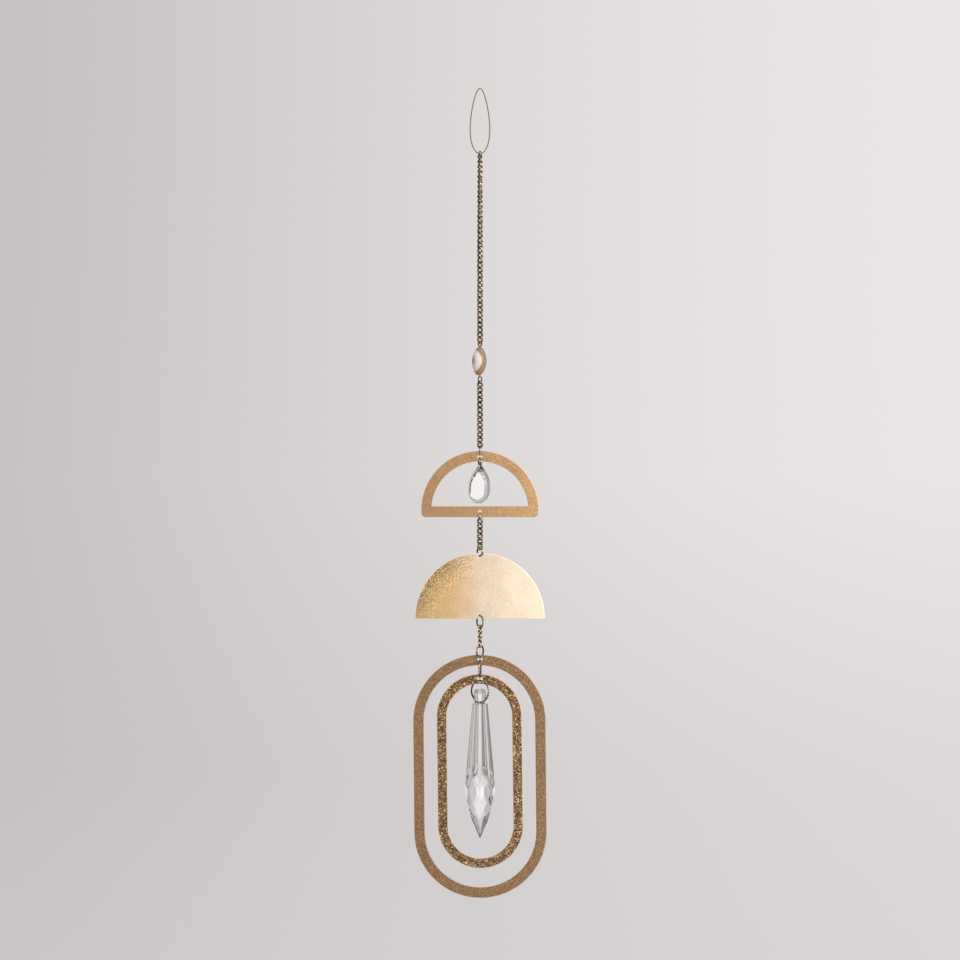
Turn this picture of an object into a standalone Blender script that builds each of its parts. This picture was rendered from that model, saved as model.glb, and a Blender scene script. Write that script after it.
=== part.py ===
"""A hanging suncatcher: brass shapes, a stone bead and two cut crystals on fine curb chain.

Metres, +Z up, the front of the piece faces -Y. The origin is where the wire loop hangs on its hook.
Everything is placed from the top down: each piece hangs in the one above it.
"""
from math import asin, ceil, cos, pi, radians, sin, sqrt, tan

import bmesh
import bpy
import numpy as np
from mathutils import Matrix, Vector

# The air left wherever two pieces bear on each other, and how deep fused links bite into each other.
GAP = 0.0003
LINK_BITE = 0.00024

# The wire loop at the top. Its swells set how wide the teardrop is near the hook and near the chain.
LOOP_HEIGHT = 0.0340
LOOP_WIRE_RADIUS = 0.00028
LOOP_UPPER_SWELL = 0.0036
LOOP_LOWER_SWELL = 0.0064

# Curb chain. A link's half width and pitch are to the middle of its wire, its twist is front to back.
LINK_WIRE_RADIUS = 0.00032
LINK_HALF_WIDTH = 0.00122
LINK_PITCH = 0.00265
LINK_TWIST = -0.00055
LINK_SEGMENTS = 6
UPPER_CHAIN_LINKS = 38
UPPER_CHAIN_TURN = -65.0
LOWER_CHAIN_LINKS = 13
MIDDLE_CHAIN_LINKS = 6
SHORT_CHAIN_LINKS = 4
SHORT_CHAIN_FIRST_TURN = 70.0
SHORT_CHAIN_LAST_TURN = 90.0

# The stone bead and the eyed wire through it. Turns of the eyes are from facing the front, in degrees.
BEAD_LENGTH = 0.0148
BEAD_RADIUS = 0.0039
BEAD_LEAN = 2.5
BEAD_WIRE_RADIUS = 0.00035
UPPER_EYE_RADIUS = 0.00135
UPPER_EYE_TURN = -48.0
LOWER_EYE_HALF_WIDTH = 0.00130
LOWER_EYE_HALF_HEIGHT = 0.00195
LOWER_EYE_TURN = 48.0

# All the flat shapes are cut from one brass sheet. An inset is from an edge in to the middle of a hole.
SHEET_THICKNESS = 0.0006

# The open half moon: an arched band on a straight bar, which runs below the pear crystal with some room.
FRAME_RADIUS = 0.0311
FRAME_ROOM_BELOW_DROP = 0.0010
FRAME_BAND = 0.00545
FRAME_BAR = 0.0058
FRAME_CORNER_RADIUS = 0.0024
FRAME_TOP_INSET = 0.00305
FRAME_BOTTOM_INSET = 0.0029

# The solid half moon.
PLATE_RADIUS = 0.0343
PLATE_FOOT = 0.0006
PLATE_CORNER_RADIUS = 0.0005
PLATE_TOP_INSET = 0.0022
PLATE_BOTTOM_INSET = 0.0024

# The two ovals. The small one is as long as the icicle asks for with the room below it, and the large one
# goes round the small one with the room beside and below it. Each hole sits a little to one side, so the
# oval hangs with a slight lean.
LARGE_OVAL_ROOM_BESIDE = 0.00705
LARGE_OVAL_ROOM_BELOW = 0.01025
LARGE_OVAL_BAND = 0.0055
LARGE_OVAL_HOLE_SIDE = 0.0006
LARGE_OVAL_INSET = 0.0022
SMALL_OVAL_HALF_WIDTH = 0.0225
SMALL_OVAL_ROOM_BELOW = 0.0102
SMALL_OVAL_BAND = 0.0051
SMALL_OVAL_HOLE_SIDE = 0.0006
SMALL_OVAL_INSET = 0.0025

# How much wider the small oval's hole is, for the ring that goes through it at a slant.
SLANT_ROOM = 0.00018

# Jump rings: outer radius, wire radius, and the turn of the ring's plane from facing the front, in degrees.
FRAME_TOP_RING = (0.0029, 0.00035, 90.0)
DROP_UPPER_RING = (0.0023, 0.00035, 112.0)
DROP_LOWER_RING = (0.0026, 0.00035, 72.0)
FRAME_BOTTOM_RING = (0.0023, 0.00030, 90.0)
PLATE_TOP_RING = (0.0027, 0.00035, -52.0)
PLATE_BOTTOM_RING = (0.0037, 0.00035, -60.0)
OVAL_TOP_RING = (0.0037, 0.00035, 58.0)
OVAL_LINK_RING = (0.0050, 0.00045, 86.0)
ICICLE_RING = (0.00605, 0.00035, -37.0)

# The pear crystal: a round belly and a smaller round top, cut with a flat front and back.
DROP_LENGTH = 0.0199
DROP_BELLY_RADIUS = 0.0061
DROP_TOP_RADIUS = 0.0015
DROP_TABLE_DEPTH = 0.0033
DROP_GIRDLE_DEPTH = 0.0006
DROP_CROWN_ANGLE = 52.0
DROP_BREAK_ANGLE = 66.0
DROP_SIDES = 12
DROP_BORE_INSET = 0.0025
DROP_BORE_HALF_DEPTH = 0.0013
DROP_LEAN = 2.5

# The icicle crystal, by heights above its tip: where each row of facets meets the next.
ICICLE_SIDES = 8
ICICLE_SHOULDER_HEIGHT = 0.0718
ICICLE_SHOULDER_RADIUS = 0.0037
ICICLE_GIRDLE_RADIUS = 0.00795
ICICLE_FLUTE_EDGE_HEIGHT = 0.0337
ICICLE_FLUTE_TIP_HEIGHT = 0.0268
ICICLE_UPPER_ROW_HEIGHT = 0.0241
ICICLE_LOWER_ROW_HEIGHT = 0.0167

# The icicle's head, on its shoulder: a flare from the neck up to the brim, and a short taper to the crown.
ICICLE_NECK_RADIUS = 0.0027
ICICLE_BRIM_RADIUS = 0.0033
ICICLE_CROWN_RADIUS = 0.0024
ICICLE_FLARE_HEIGHT = 0.0047
ICICLE_TAPER_HEIGHT = 0.0030

# The blanks the crystals are cut from are this much wider than the crystal.
BLANK_ROOM = 1.3

# The shank is this much thinner than the eyes, so that no two of their faces lie in one plane.
SHANK_THINNING = 0.98

# Points closer than this are one point.
WELD_DISTANCE = 1e-6

# How finely the solids are faceted.
CIRCLE_STEPS = 48
HOLE_STEPS = 14
RING_SIDES = 5
LOOP_STEPS = 30
LEAST_RING_STEPS = 16
RING_STEP_LENGTH = 0.0012
EYE_STEPS = 14
BEAD_PROFILE_STEPS = 11
BEAD_SIDES = 18


def clear_scene():
    """Removes every object of the scene."""
    for item in list(bpy.data.objects):
        bpy.data.objects.remove(item, do_unlink=True)


def new_collection(name):
    """Makes a collection in the scene."""
    collection = bpy.data.collections.new(name)
    bpy.context.scene.collection.children.link(collection)
    return collection


clear_scene()
PARTS = new_collection("suncatcher")
CUTTERS = new_collection("suncatcher_cutters")


def material(name, colour, roughness, metallic, transmission=0.0):
    """A Principled material with plain values."""
    made = bpy.data.materials.new(name)
    made.use_nodes = True
    made.diffuse_color = (*colour, 1.0)
    shader = made.node_tree.nodes["Principled BSDF"]
    shader.inputs["Base Color"].default_value = (*colour, 1.0)
    shader.inputs["Roughness"].default_value = roughness
    shader.inputs["Metallic"].default_value = metallic
    shader.inputs["Transmission Weight"].default_value = transmission
    return made


def brushed_brass(name):
    """Sheet brass with a fine matte grain."""
    return material(name, (0.55, 0.34, 0.17), 0.42, 1.0)


def bright_brass(name):
    """Sheet brass with a soft bright satin."""
    return material(name, (0.78, 0.56, 0.30), 0.28, 1.0)


def antique_brass(name):
    """Darkened brass of chain links and jump rings."""
    return material(name, (0.36, 0.25, 0.12), 0.35, 1.0)


def clear_crystal(name):
    """Clear lead glass."""
    return material(name, (1.0, 1.0, 1.0), 0.0, 0.0, 1.0)


def tan_stone(name):
    """Polished tan and milky stone."""
    return material(name, (0.55, 0.38, 0.26), 0.30, 0.0)


def grey_wire(name):
    """Soft grey wire."""
    return material(name, (0.33, 0.29, 0.28), 0.40, 0.6)


def place(item, location=(0.0, 0.0, 0.0), turn=(0.0, 0.0, 0.0), finish=None, collection=PARTS):
    """Links an object to its collection, sets where it stands and gives it its material."""
    for holder in list(item.users_collection):
        holder.objects.unlink(item)
    collection.objects.link(item)
    item.location = location
    item.rotation_euler = turn
    if finish is not None:
        item.data.materials.clear()
        item.data.materials.append(finish)
    return item


def curve_object(name, splines, dimensions="3D"):
    """A curve object with one closed or open POLY spline for each (points, closed) pair."""
    data = bpy.data.curves.new(name, "CURVE")
    data.dimensions = dimensions
    for points, closed in splines:
        spline = data.splines.new("POLY")
        spline.points.add(len(points) - 1)
        spline.points.foreach_set("co", np.hstack([points, np.ones((len(points), 1))]).ravel())
        spline.use_cyclic_u = closed
    return bpy.data.objects.new(name, data)


def wire_mesh(name, splines, radius, bevel_resolution):
    """A mesh of round wire along each spline, with its caps welded.

    Its faces are triangles, because the bent quads of a twisted wire leave slivers in a Boolean.
    """
    guide = curve_object(name + "_guide", splines)
    guide.data.bevel_depth = radius
    guide.data.bevel_resolution = bevel_resolution
    guide.data.use_fill_caps = True
    bpy.context.scene.collection.objects.link(guide)
    evaluated = guide.evaluated_get(bpy.context.evaluated_depsgraph_get())
    mesh = bpy.data.meshes.new_from_object(evaluated)
    bpy.data.objects.remove(guide, do_unlink=True)
    work = bmesh.new()
    work.from_mesh(mesh)
    bmesh.ops.remove_doubles(work, verts=work.verts, dist=WELD_DISTANCE)
    bmesh.ops.recalc_face_normals(work, faces=work.faces)
    bmesh.ops.triangulate(work, faces=work.faces)
    work.to_mesh(mesh)
    work.free()
    return mesh


def boolean(item, tool, operation):
    """Joins the tool to the object, or cuts it out, with an exact Boolean."""
    place(tool, tool.location[:], tool.rotation_euler[:], collection=CUTTERS)
    tool.hide_render = True
    tool.display_type = "WIRE"
    step = item.modifiers.new(operation.lower(), "BOOLEAN")
    step.operation = operation
    step.solver = "EXACT"
    step.object = tool


def hang_below(bottom, wire_above, wire_below):
    """Height of the top of a wire's middle line that hangs in the wire whose lowest middle line is given."""
    return bottom + wire_above + wire_below + GAP


def hole_around(ring_bottom, wire, hole_radius):
    """Height of a hole's middle, where its upper edge bears on the lowest stretch of a ring."""
    return ring_bottom + wire + GAP - hole_radius


def ring_in_hole(hole_middle, hole_radius, wire):
    """Height of a ring's highest middle line, where the ring bears on the hole's lower edge."""
    return hole_middle - hole_radius + GAP + wire


def two_wire_hole(first, second):
    """Radius of a hole that takes two wires, one above the other, with air round and between them."""
    return first + second + 2.0 * GAP


def one_wire_hole(wire):
    """Radius of a hole that takes one wire freely."""
    return 2.0 * wire + 1.5 * GAP


def ring_line(ring):
    """Radius of a jump ring's middle line."""
    return ring[0] - ring[1]


def jump_ring(name, ring, top):
    """A jump ring whose middle line reaches up to the given height."""
    radius = ring_line(ring)
    steps = max(LEAST_RING_STEPS, ceil(2.0 * pi * radius / RING_STEP_LENGTH))
    bpy.ops.mesh.primitive_torus_add(
        major_radius=radius, minor_radius=ring[1], major_segments=steps, minor_segments=RING_SIDES)
    item = bpy.context.object
    item.name = name
    item.data.name = name
    item.data.shade_smooth()
    place(item, (0.0, 0.0, top - radius), (pi / 2, 0.0, radians(ring[2])), antique_brass(name))
    return top - 2.0 * radius


def loop_line(steps):
    """The loop's middle line: a teardrop whose half width is sin t times a swell that grows downwards."""
    t = np.linspace(0.0, 2.0 * pi, steps, endpoint=False)
    depth = (1.0 - np.cos(t)) / 2.0
    swell = LOOP_UPPER_SWELL + (LOOP_LOWER_SWELL - LOOP_UPPER_SWELL) * depth
    drop = LOOP_WIRE_RADIUS - (LOOP_HEIGHT + 2.0 * LOOP_WIRE_RADIUS) * depth
    return np.column_stack([swell * np.sin(t), np.zeros(steps), drop])


def hanging_loop():
    """The wire loop, one closed teardrop. Gives the height of its lowest middle line."""
    mesh = wire_mesh("hanging_loop", [(loop_line(LOOP_STEPS), True)], LOOP_WIRE_RADIUS, 1)
    mesh.shade_smooth()
    place(bpy.data.objects.new("hanging_loop", mesh), finish=grey_wire("hanging_loop"))
    return -LOOP_HEIGHT - LOOP_WIRE_RADIUS


def link_half_height():
    """Half a link's height to the middle of its wire, so that links at the pitch bite as deep as stated."""
    return (LINK_PITCH + 2.0 * LINK_WIRE_RADIUS - LINK_BITE) / 2.0


def link_line(middle, turn):
    """A curb link's middle line: an ellipse whose sides are twisted front and back by sin 2t.

    With six segments a straight one runs over each end, so the ellipse reaches 1 / cos(half a step) past it.
    """
    half_step = pi / LINK_SEGMENTS
    t = np.linspace(0.0, 2.0 * pi, LINK_SEGMENTS, endpoint=False)
    across = LINK_HALF_WIDTH * np.cos(t)
    depth = LINK_TWIST * np.sin(2.0 * t)
    x = across * cos(turn) - depth * sin(turn)
    y = across * sin(turn) + depth * cos(turn)
    return np.column_stack([x, y, middle + link_half_height() / cos(half_step) * np.sin(t)])


def chain(name, top, count, first_turn=0.0, last_turn=0.0):
    """A run of fused links that hangs from the given height, turning evenly from first to last.

    Every second link is united with the others, so that they bite into each other only where they touch.
    """
    turns = np.radians(np.linspace(first_turn, last_turn, count))
    lines = []
    for i in range(count):
        middle = top - link_half_height() - i * LINK_PITCH
        lines.append((link_line(middle, turns[i]), True))
    item = bpy.data.objects.new(name, wire_mesh(name, lines[0::2], LINK_WIRE_RADIUS, 0))
    place(item, finish=antique_brass(name))
    others = bpy.data.objects.new(name + "_other_links", wire_mesh(name, lines[1::2], LINK_WIRE_RADIUS, 0))
    boolean(item, others, "UNION")
    return top - 2.0 * link_half_height() - (count - 1) * LINK_PITCH


def stone_bead(middle):
    """The bead: a rice shape turned about its bore, whose wall thins to its ends as (1 - s^2)^0.8.

    The bore clears the wire although the bead sits on it with a slight lean.
    """
    bore = BEAD_WIRE_RADIUS + GAP + tan(radians(BEAD_LEAN)) * BEAD_LENGTH / 2.0
    s = np.sin(np.linspace(-pi / 2, pi / 2, BEAD_PROFILE_STEPS))
    radius = bore + (BEAD_RADIUS - bore) * (1.0 - s * s) ** 0.8
    height = s * BEAD_LENGTH / 2.0
    work = bmesh.new()
    profile = [work.verts.new((r, 0.0, z)) for r, z in zip(radius, height)]
    edges = [work.edges.new(pair) for pair in zip(profile, profile[1:] + profile[:1])]
    bmesh.ops.spin(
        work, geom=profile + edges, axis=(0, 0, 1), cent=(0, 0, 0), steps=BEAD_SIDES, angle=2.0 * pi)
    bmesh.ops.remove_doubles(work, verts=work.verts, dist=WELD_DISTANCE)
    bmesh.ops.recalc_face_normals(work, faces=work.faces)
    mesh = bpy.data.meshes.new("stone_bead")
    work.to_mesh(mesh)
    work.free()
    mesh.shade_smooth()
    mesh.set_sharp_from_angle(angle=radians(50))
    item = bpy.data.objects.new("stone_bead", mesh)
    place(item, (0.0, 0.0, middle), (0.0, radians(BEAD_LEAN), 0.0), tan_stone("stone_bead"))


def eye_line(middle, half_width, half_height, turn):
    """An eye's middle line, an ellipse in a plane that is turned about the wire by degrees."""
    t = np.linspace(0.0, 2.0 * pi, EYE_STEPS, endpoint=False)
    across = half_width * np.cos(t)
    x = across * cos(radians(turn))
    y = across * sin(radians(turn))
    return np.column_stack([x, y, middle + half_height * np.sin(t)])


def bead_and_wire(top):
    """The eyed wire, hung by its upper eye, with the bead on it. Gives its lowest middle line."""
    reach = BEAD_LENGTH / 2.0 + BEAD_WIRE_RADIUS + GAP
    shank_top = top - 2.0 * UPPER_EYE_RADIUS
    middle = shank_top - reach
    shank_bottom = middle - reach
    upper_middle = top - UPPER_EYE_RADIUS
    lower_middle = shank_bottom - LOWER_EYE_HALF_HEIGHT
    upper_eye = eye_line(upper_middle, UPPER_EYE_RADIUS, UPPER_EYE_RADIUS, UPPER_EYE_TURN)
    lower_eye = eye_line(lower_middle, LOWER_EYE_HALF_WIDTH, LOWER_EYE_HALF_HEIGHT, LOWER_EYE_TURN)
    eyes = wire_mesh("bead_wire", [(upper_eye, True), (lower_eye, True)], BEAD_WIRE_RADIUS, 1)
    item = bpy.data.objects.new("bead_wire", eyes)
    place(item, finish=antique_brass("bead_wire"))
    shank = np.array([(0.0, 0.0, shank_top), (0.0, 0.0, shank_bottom)])
    shank_mesh = wire_mesh("bead_wire_shank", [(shank, False)], BEAD_WIRE_RADIUS * SHANK_THINNING, 1)
    boolean(item, bpy.data.objects.new("bead_wire_shank", shank_mesh), "UNION")
    stone_bead(middle)
    return lower_middle - LOWER_EYE_HALF_HEIGHT


def arc(centre, radius, start, end, full_steps=CIRCLE_STEPS):
    """Points of an arc, both ends included, with as many steps as its share of a full circle asks for."""
    count = max(2, ceil(abs(end - start) / (2.0 * pi) * full_steps)) + 1
    t = np.linspace(start, end, count)
    return np.column_stack([centre[0] + radius * np.cos(t), centre[1] + radius * np.sin(t)])


def circle(centre, radius, steps=HOLE_STEPS):
    """Points of a full circle."""
    return arc(centre, radius, 0.0, 2.0 * pi, steps)[:-1]


def cut_from_sheet(name, outlines, hole_middle, lean, finish):
    """A flat piece cut from sheet, hung at its hole's middle, that leans by an angle in its own plane."""
    splines = [(np.column_stack([line, np.zeros(len(line))]), True) for line in outlines]
    item = curve_object(name, splines, "2D")
    item.data.fill_mode = "BOTH"
    item.data.extrude = SHEET_THICKNESS / 2.0
    return place(item, (0.0, 0.0, hole_middle), (pi / 2, -lean, 0.0), finish)


def rounded_foot(centre_height, radius, foot, corner):
    """The outline of a half disc: an arch that runs down past its middle line to a straight foot.

    The arch is a circle, the corners are arcs that touch both the arch and the straight foot.
    """
    bottom = centre_height - foot
    corner_height = bottom + corner
    corner_side = sqrt((radius - corner) ** 2 - (corner_height - centre_height) ** 2)
    tilt = asin((corner_height - centre_height) / (radius - corner))
    right = arc((corner_side, corner_height), corner, -pi / 2, tilt)
    arch = arc((0.0, centre_height), radius, tilt, pi - tilt)
    left = arc((-corner_side, corner_height), corner, pi - tilt, 1.5 * pi)
    return np.vstack([right, arch[1:-1], left])


def half_moon_frame(hole_middle, top_hole, bottom_hole, drop_bottom):
    """The open half moon, with its bar below the pear crystal. Gives its lower hole's height."""
    centre = FRAME_TOP_INSET - FRAME_RADIUS
    bottom = drop_bottom - FRAME_ROOM_BELOW_DROP - FRAME_BAR - hole_middle
    outer = rounded_foot(centre, FRAME_RADIUS, centre - bottom, FRAME_CORNER_RADIUS)
    inner_radius = FRAME_RADIUS - FRAME_BAND
    rise = asin((bottom + FRAME_BAR - centre) / inner_radius)
    inner = arc((0.0, centre), inner_radius, rise, pi - rise)
    lower_hole = bottom + FRAME_BOTTOM_INSET
    holes = [circle((0.0, 0.0), top_hole), circle((0.0, lower_hole), bottom_hole)]
    finish = brushed_brass("half_moon_frame")
    cut_from_sheet("half_moon_frame", [outer, inner] + holes, hole_middle, 0.0, finish)
    return hole_middle + lower_hole


def half_moon_plate(hole_middle, top_hole, bottom_hole):
    """The solid half moon. Gives the height of the middle of its lower hole."""
    centre = PLATE_TOP_INSET - PLATE_RADIUS
    outer = rounded_foot(centre, PLATE_RADIUS, PLATE_FOOT, PLATE_CORNER_RADIUS)
    lower_hole = centre - PLATE_FOOT + PLATE_BOTTOM_INSET
    holes = [circle((0.0, 0.0), top_hole), circle((0.0, lower_hole), bottom_hole)]
    finish = bright_brass("half_moon_plate")
    cut_from_sheet("half_moon_plate", [outer] + holes, hole_middle, 0.0, finish)
    return hole_middle + lower_hole


def oval_outline(top, side, half_width, length):
    """Two half circles joined by straight sides."""
    upper = arc((side, top - half_width), half_width, 0.0, pi)
    lower = arc((side, top - length + half_width), half_width, pi, 2.0 * pi)
    return np.vstack([upper, lower])


def oval_frame(name, hole_middle, hole_radius, half_width, bottom, band, inset, hole_side):
    """An oval band that reaches down to a height. It hangs plumb below its hole, which sits to one side."""
    length = hole_middle + inset - bottom
    outer = oval_outline(inset, -hole_side, half_width, length)
    inner = oval_outline(inset - band, -hole_side, half_width - band, length - 2.0 * band)
    lean = asin(hole_side / (length / 2.0 - inset))
    outlines = [outer, inner, circle((0.0, 0.0), hole_radius)]
    cut_from_sheet(name, outlines, hole_middle, lean, brushed_brass(name))


def cut_flat(work, point, normal):
    """Grinds everything beyond a plane away and closes the flat that is left."""
    geometry = work.verts[:] + work.edges[:] + work.faces[:]
    cut = bmesh.ops.bisect_plane(
        work, geom=geometry, dist=1e-7, plane_co=point, plane_no=normal, clear_outer=True)
    rim = [part for part in cut["geom_cut"] if isinstance(part, bmesh.types.BMEdge)]
    if rim:
        bmesh.ops.contextual_create(work, geom=rim)


def cut_row(work, count, first_angle, upper, lower):
    """Grinds a row of equal flats round the Z axis, each through two (radius, height) points."""
    run = Vector((lower[0] - upper[0], lower[1] - upper[1]))
    outward = Vector((-run.y, run.x)).normalized()
    if outward.x < 0.0:
        outward = -outward
    for i in range(count):
        angle = first_angle + 2.0 * pi * i / count
        point = (upper[0] * cos(angle), upper[0] * sin(angle), upper[1])
        normal = (outward.x * cos(angle), outward.x * sin(angle), outward.y)
        cut_flat(work, point, normal)


def blank_mesh(work, half_width, bottom, top):
    """A square blank of glass round the Z axis, to be cut down."""
    size = Matrix.Diagonal((2.0 * half_width, 2.0 * half_width, top - bottom, 1.0))
    bmesh.ops.create_cube(work, size=1.0, matrix=Matrix.Translation((0.0, 0.0, (top + bottom) / 2.0)) @ size)


def finished_crystal(name, work):
    """Turns the cut blank into an object with flat, sharp facets."""
    bmesh.ops.remove_doubles(work, verts=work.verts, dist=WELD_DISTANCE)
    bmesh.ops.recalc_face_normals(work, faces=work.faces)
    mesh = bpy.data.meshes.new(name)
    work.to_mesh(mesh)
    work.free()
    mesh.shade_flat()
    return bpy.data.objects.new(name, mesh)


def drill(item, radius, half_length, middle, direction_turn):
    """Bores a hole through the object, across the Z axis, in the plane direction given by a turn about Z."""
    bpy.ops.mesh.primitive_cylinder_add(radius=radius, depth=2.0 * half_length, vertices=HOLE_STEPS)
    tool = bpy.context.object
    tool.name = item.name + "_drill"
    tool.location = middle
    tool.rotation_euler = (0.0, pi / 2, direction_turn)
    bpy.context.view_layer.update()
    boolean(item, tool, "DIFFERENCE")


def bore_for(ring, half_depth):
    """Radius of a straight bore that takes a ring's curved wire, and its height above the ring's foot."""
    line = ring_line(ring)
    rise = line - sqrt(line * line - half_depth * half_depth)
    return ring[1] + rise / 2.0 + GAP, rise / 2.0


def pear_reach(angle):
    """How far the pear's outline reaches in a direction: the further of its belly and its top."""
    spacing = DROP_LENGTH - DROP_BELLY_RADIUS - DROP_TOP_RADIUS
    return max(DROP_BELLY_RADIUS, DROP_TOP_RADIUS + spacing * sin(angle))


def pear_flats():
    """The directions of the pear's side flats: even steps round the belly, the flanks, and the top."""
    spacing = DROP_LENGTH - DROP_BELLY_RADIUS - DROP_TOP_RADIUS
    flank = asin((DROP_BELLY_RADIUS - DROP_TOP_RADIUS) / spacing)
    belly = [flank - i * (2.0 * flank + pi) / (DROP_SIDES - 1) for i in range(DROP_SIDES)]
    shoulders = [pi / 2 - (pi / 2 - flank) * i / 2.0 for i in (-1, 0, 1)]
    return belly, shoulders


def crystal_drop(ring_bottom, ring):
    """The pear crystal, hung by its bore, cut alike in front and behind. Gives its bottom's height."""
    bore_radius, bore_rise = bore_for(ring, DROP_BORE_HALF_DEPTH)
    bore_height = DROP_LENGTH - DROP_BELLY_RADIUS - DROP_BORE_INSET
    top = DROP_LENGTH - DROP_BELLY_RADIUS
    work = bmesh.new()
    width = BLANK_ROOM * DROP_BELLY_RADIUS
    size = Matrix.Diagonal((2.0 * width, 2.0 * DROP_TABLE_DEPTH, 2.0 * DROP_LENGTH, 1.0))
    bmesh.ops.create_cube(work, size=1.0, matrix=size)
    belly, shoulders = pear_flats()
    crown = radians(DROP_CROWN_ANGLE)
    split = radians(DROP_BREAK_ANGLE)
    for angle in belly + shoulders:
        reach = pear_reach(angle)
        out = Vector((cos(angle), 0.0, sin(angle)))
        cut_flat(work, out * reach, out)
        for side in (-1.0, 1.0):
            rim = out * reach + Vector((0.0, side * DROP_GIRDLE_DEPTH, 0.0))
            cut_flat(work, rim, out * sin(crown) + Vector((0.0, side * cos(crown), 0.0)))
    step = belly[1] - belly[0]
    for angle in belly[:-1]:
        between = angle + step / 2.0
        out = Vector((cos(between), 0.0, sin(between)))
        for side in (-1.0, 1.0):
            rim = out * pear_reach(between) + Vector((0.0, side * DROP_GIRDLE_DEPTH, 0.0))
            cut_flat(work, rim, out * sin(split) + Vector((0.0, side * cos(split), 0.0)))
    thinning = (DROP_BORE_HALF_DEPTH - DROP_GIRDLE_DEPTH) / (top - bore_height)
    for side in (-1.0, 1.0):
        cut_flat(work, (0.0, side * DROP_BORE_HALF_DEPTH, bore_height), (0.0, side, thinning))
    bmesh.ops.translate(work, verts=work.verts, vec=(0.0, 0.0, -bore_height))
    item = finished_crystal("crystal_drop", work)
    turn = radians(ring[2] - 90.0)
    middle = (0.0, 0.0, ring_bottom + bore_rise)
    place(item, middle, (0.0, radians(DROP_LEAN), turn), clear_crystal("crystal_drop"))
    bpy.context.view_layer.update()
    drill(item, bore_radius, DROP_TABLE_DEPTH, middle, radians(ring[2]))
    return middle[2] - bore_height - DROP_BELLY_RADIUS


def icicle_crystal(ring_bottom, ring):
    """The icicle crystal, hung by the bore low in its head. Gives the height of its tip."""
    half_step = cos(pi / ICICLE_SIDES)
    flare = (ICICLE_BRIM_RADIUS - ICICLE_NECK_RADIUS) / ICICLE_FLARE_HEIGHT
    bore_radius, bore_rise = bore_for(ring, ICICLE_NECK_RADIUS + flare * 4.0 * ring[1])
    bore_height = ICICLE_SHOULDER_HEIGHT + bore_radius + GAP
    flute_run = ICICLE_SHOULDER_HEIGHT - ICICLE_FLUTE_TIP_HEIGHT
    fall = (ICICLE_GIRDLE_RADIUS - ICICLE_SHOULDER_RADIUS) / flute_run
    edge_radius = ICICLE_GIRDLE_RADIUS - fall * (ICICLE_FLUTE_EDGE_HEIGHT - ICICLE_FLUTE_TIP_HEIGHT)
    edge_radius /= half_step
    tip_radius = ICICLE_GIRDLE_RADIUS * half_step
    slope = (edge_radius - tip_radius) / (ICICLE_FLUTE_EDGE_HEIGHT - ICICLE_FLUTE_TIP_HEIGHT)
    upper_radius = (tip_radius - slope * (ICICLE_FLUTE_TIP_HEIGHT - ICICLE_UPPER_ROW_HEIGHT)) / half_step
    lower_radius = tip_radius - slope * (ICICLE_FLUTE_TIP_HEIGHT - ICICLE_LOWER_ROW_HEIGHT)
    work = bmesh.new()
    blank_mesh(work, BLANK_ROOM * ICICLE_GIRDLE_RADIUS, -ICICLE_GIRDLE_RADIUS, ICICLE_SHOULDER_HEIGHT)
    turn = pi / ICICLE_SIDES
    cut_row(work, ICICLE_SIDES, 0.0, (ICICLE_SHOULDER_RADIUS, ICICLE_SHOULDER_HEIGHT),
            (ICICLE_GIRDLE_RADIUS, ICICLE_FLUTE_TIP_HEIGHT))
    cut_row(work, ICICLE_SIDES, turn, (edge_radius, ICICLE_FLUTE_EDGE_HEIGHT),
            (tip_radius, ICICLE_FLUTE_TIP_HEIGHT))
    cut_row(work, ICICLE_SIDES, 0.0, (upper_radius, ICICLE_UPPER_ROW_HEIGHT),
            (lower_radius * half_step, ICICLE_LOWER_ROW_HEIGHT))
    cut_row(work, ICICLE_SIDES, turn, (lower_radius, ICICLE_LOWER_ROW_HEIGHT), (0.0, 0.0))
    bmesh.ops.translate(work, verts=work.verts, vec=(0.0, 0.0, -bore_height))
    item = finished_crystal("icicle_crystal", work)
    head = bmesh.new()
    overlap = 0.5 * ICICLE_SHOULDER_RADIUS
    brim = ICICLE_SHOULDER_HEIGHT + ICICLE_FLARE_HEIGHT
    crown = brim + ICICLE_TAPER_HEIGHT
    blank_mesh(head, BLANK_ROOM * ICICLE_BRIM_RADIUS, ICICLE_SHOULDER_HEIGHT - overlap, crown)
    cut_row(head, ICICLE_SIDES, 0.0, (ICICLE_BRIM_RADIUS, brim),
            (ICICLE_NECK_RADIUS - flare * overlap, ICICLE_SHOULDER_HEIGHT - overlap))
    cut_row(head, ICICLE_SIDES, 0.0, (ICICLE_CROWN_RADIUS, crown), (ICICLE_BRIM_RADIUS, brim))
    bmesh.ops.translate(head, verts=head.verts, vec=(0.0, 0.0, -bore_height))
    head_item = finished_crystal("icicle_head", head)
    middle = (0.0, 0.0, ring_bottom + bore_rise)
    head_item.location = middle
    head_item.rotation_euler = (0.0, 0.0, radians(ring[2]))
    place(item, middle, (0.0, 0.0, radians(ring[2])), clear_crystal("icicle_crystal"))
    boolean(item, head_item, "UNION")
    drill(item, bore_radius, 1.5 * ICICLE_SHOULDER_RADIUS, middle, radians(ring[2]))
    return middle[2] - bore_height


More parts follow.
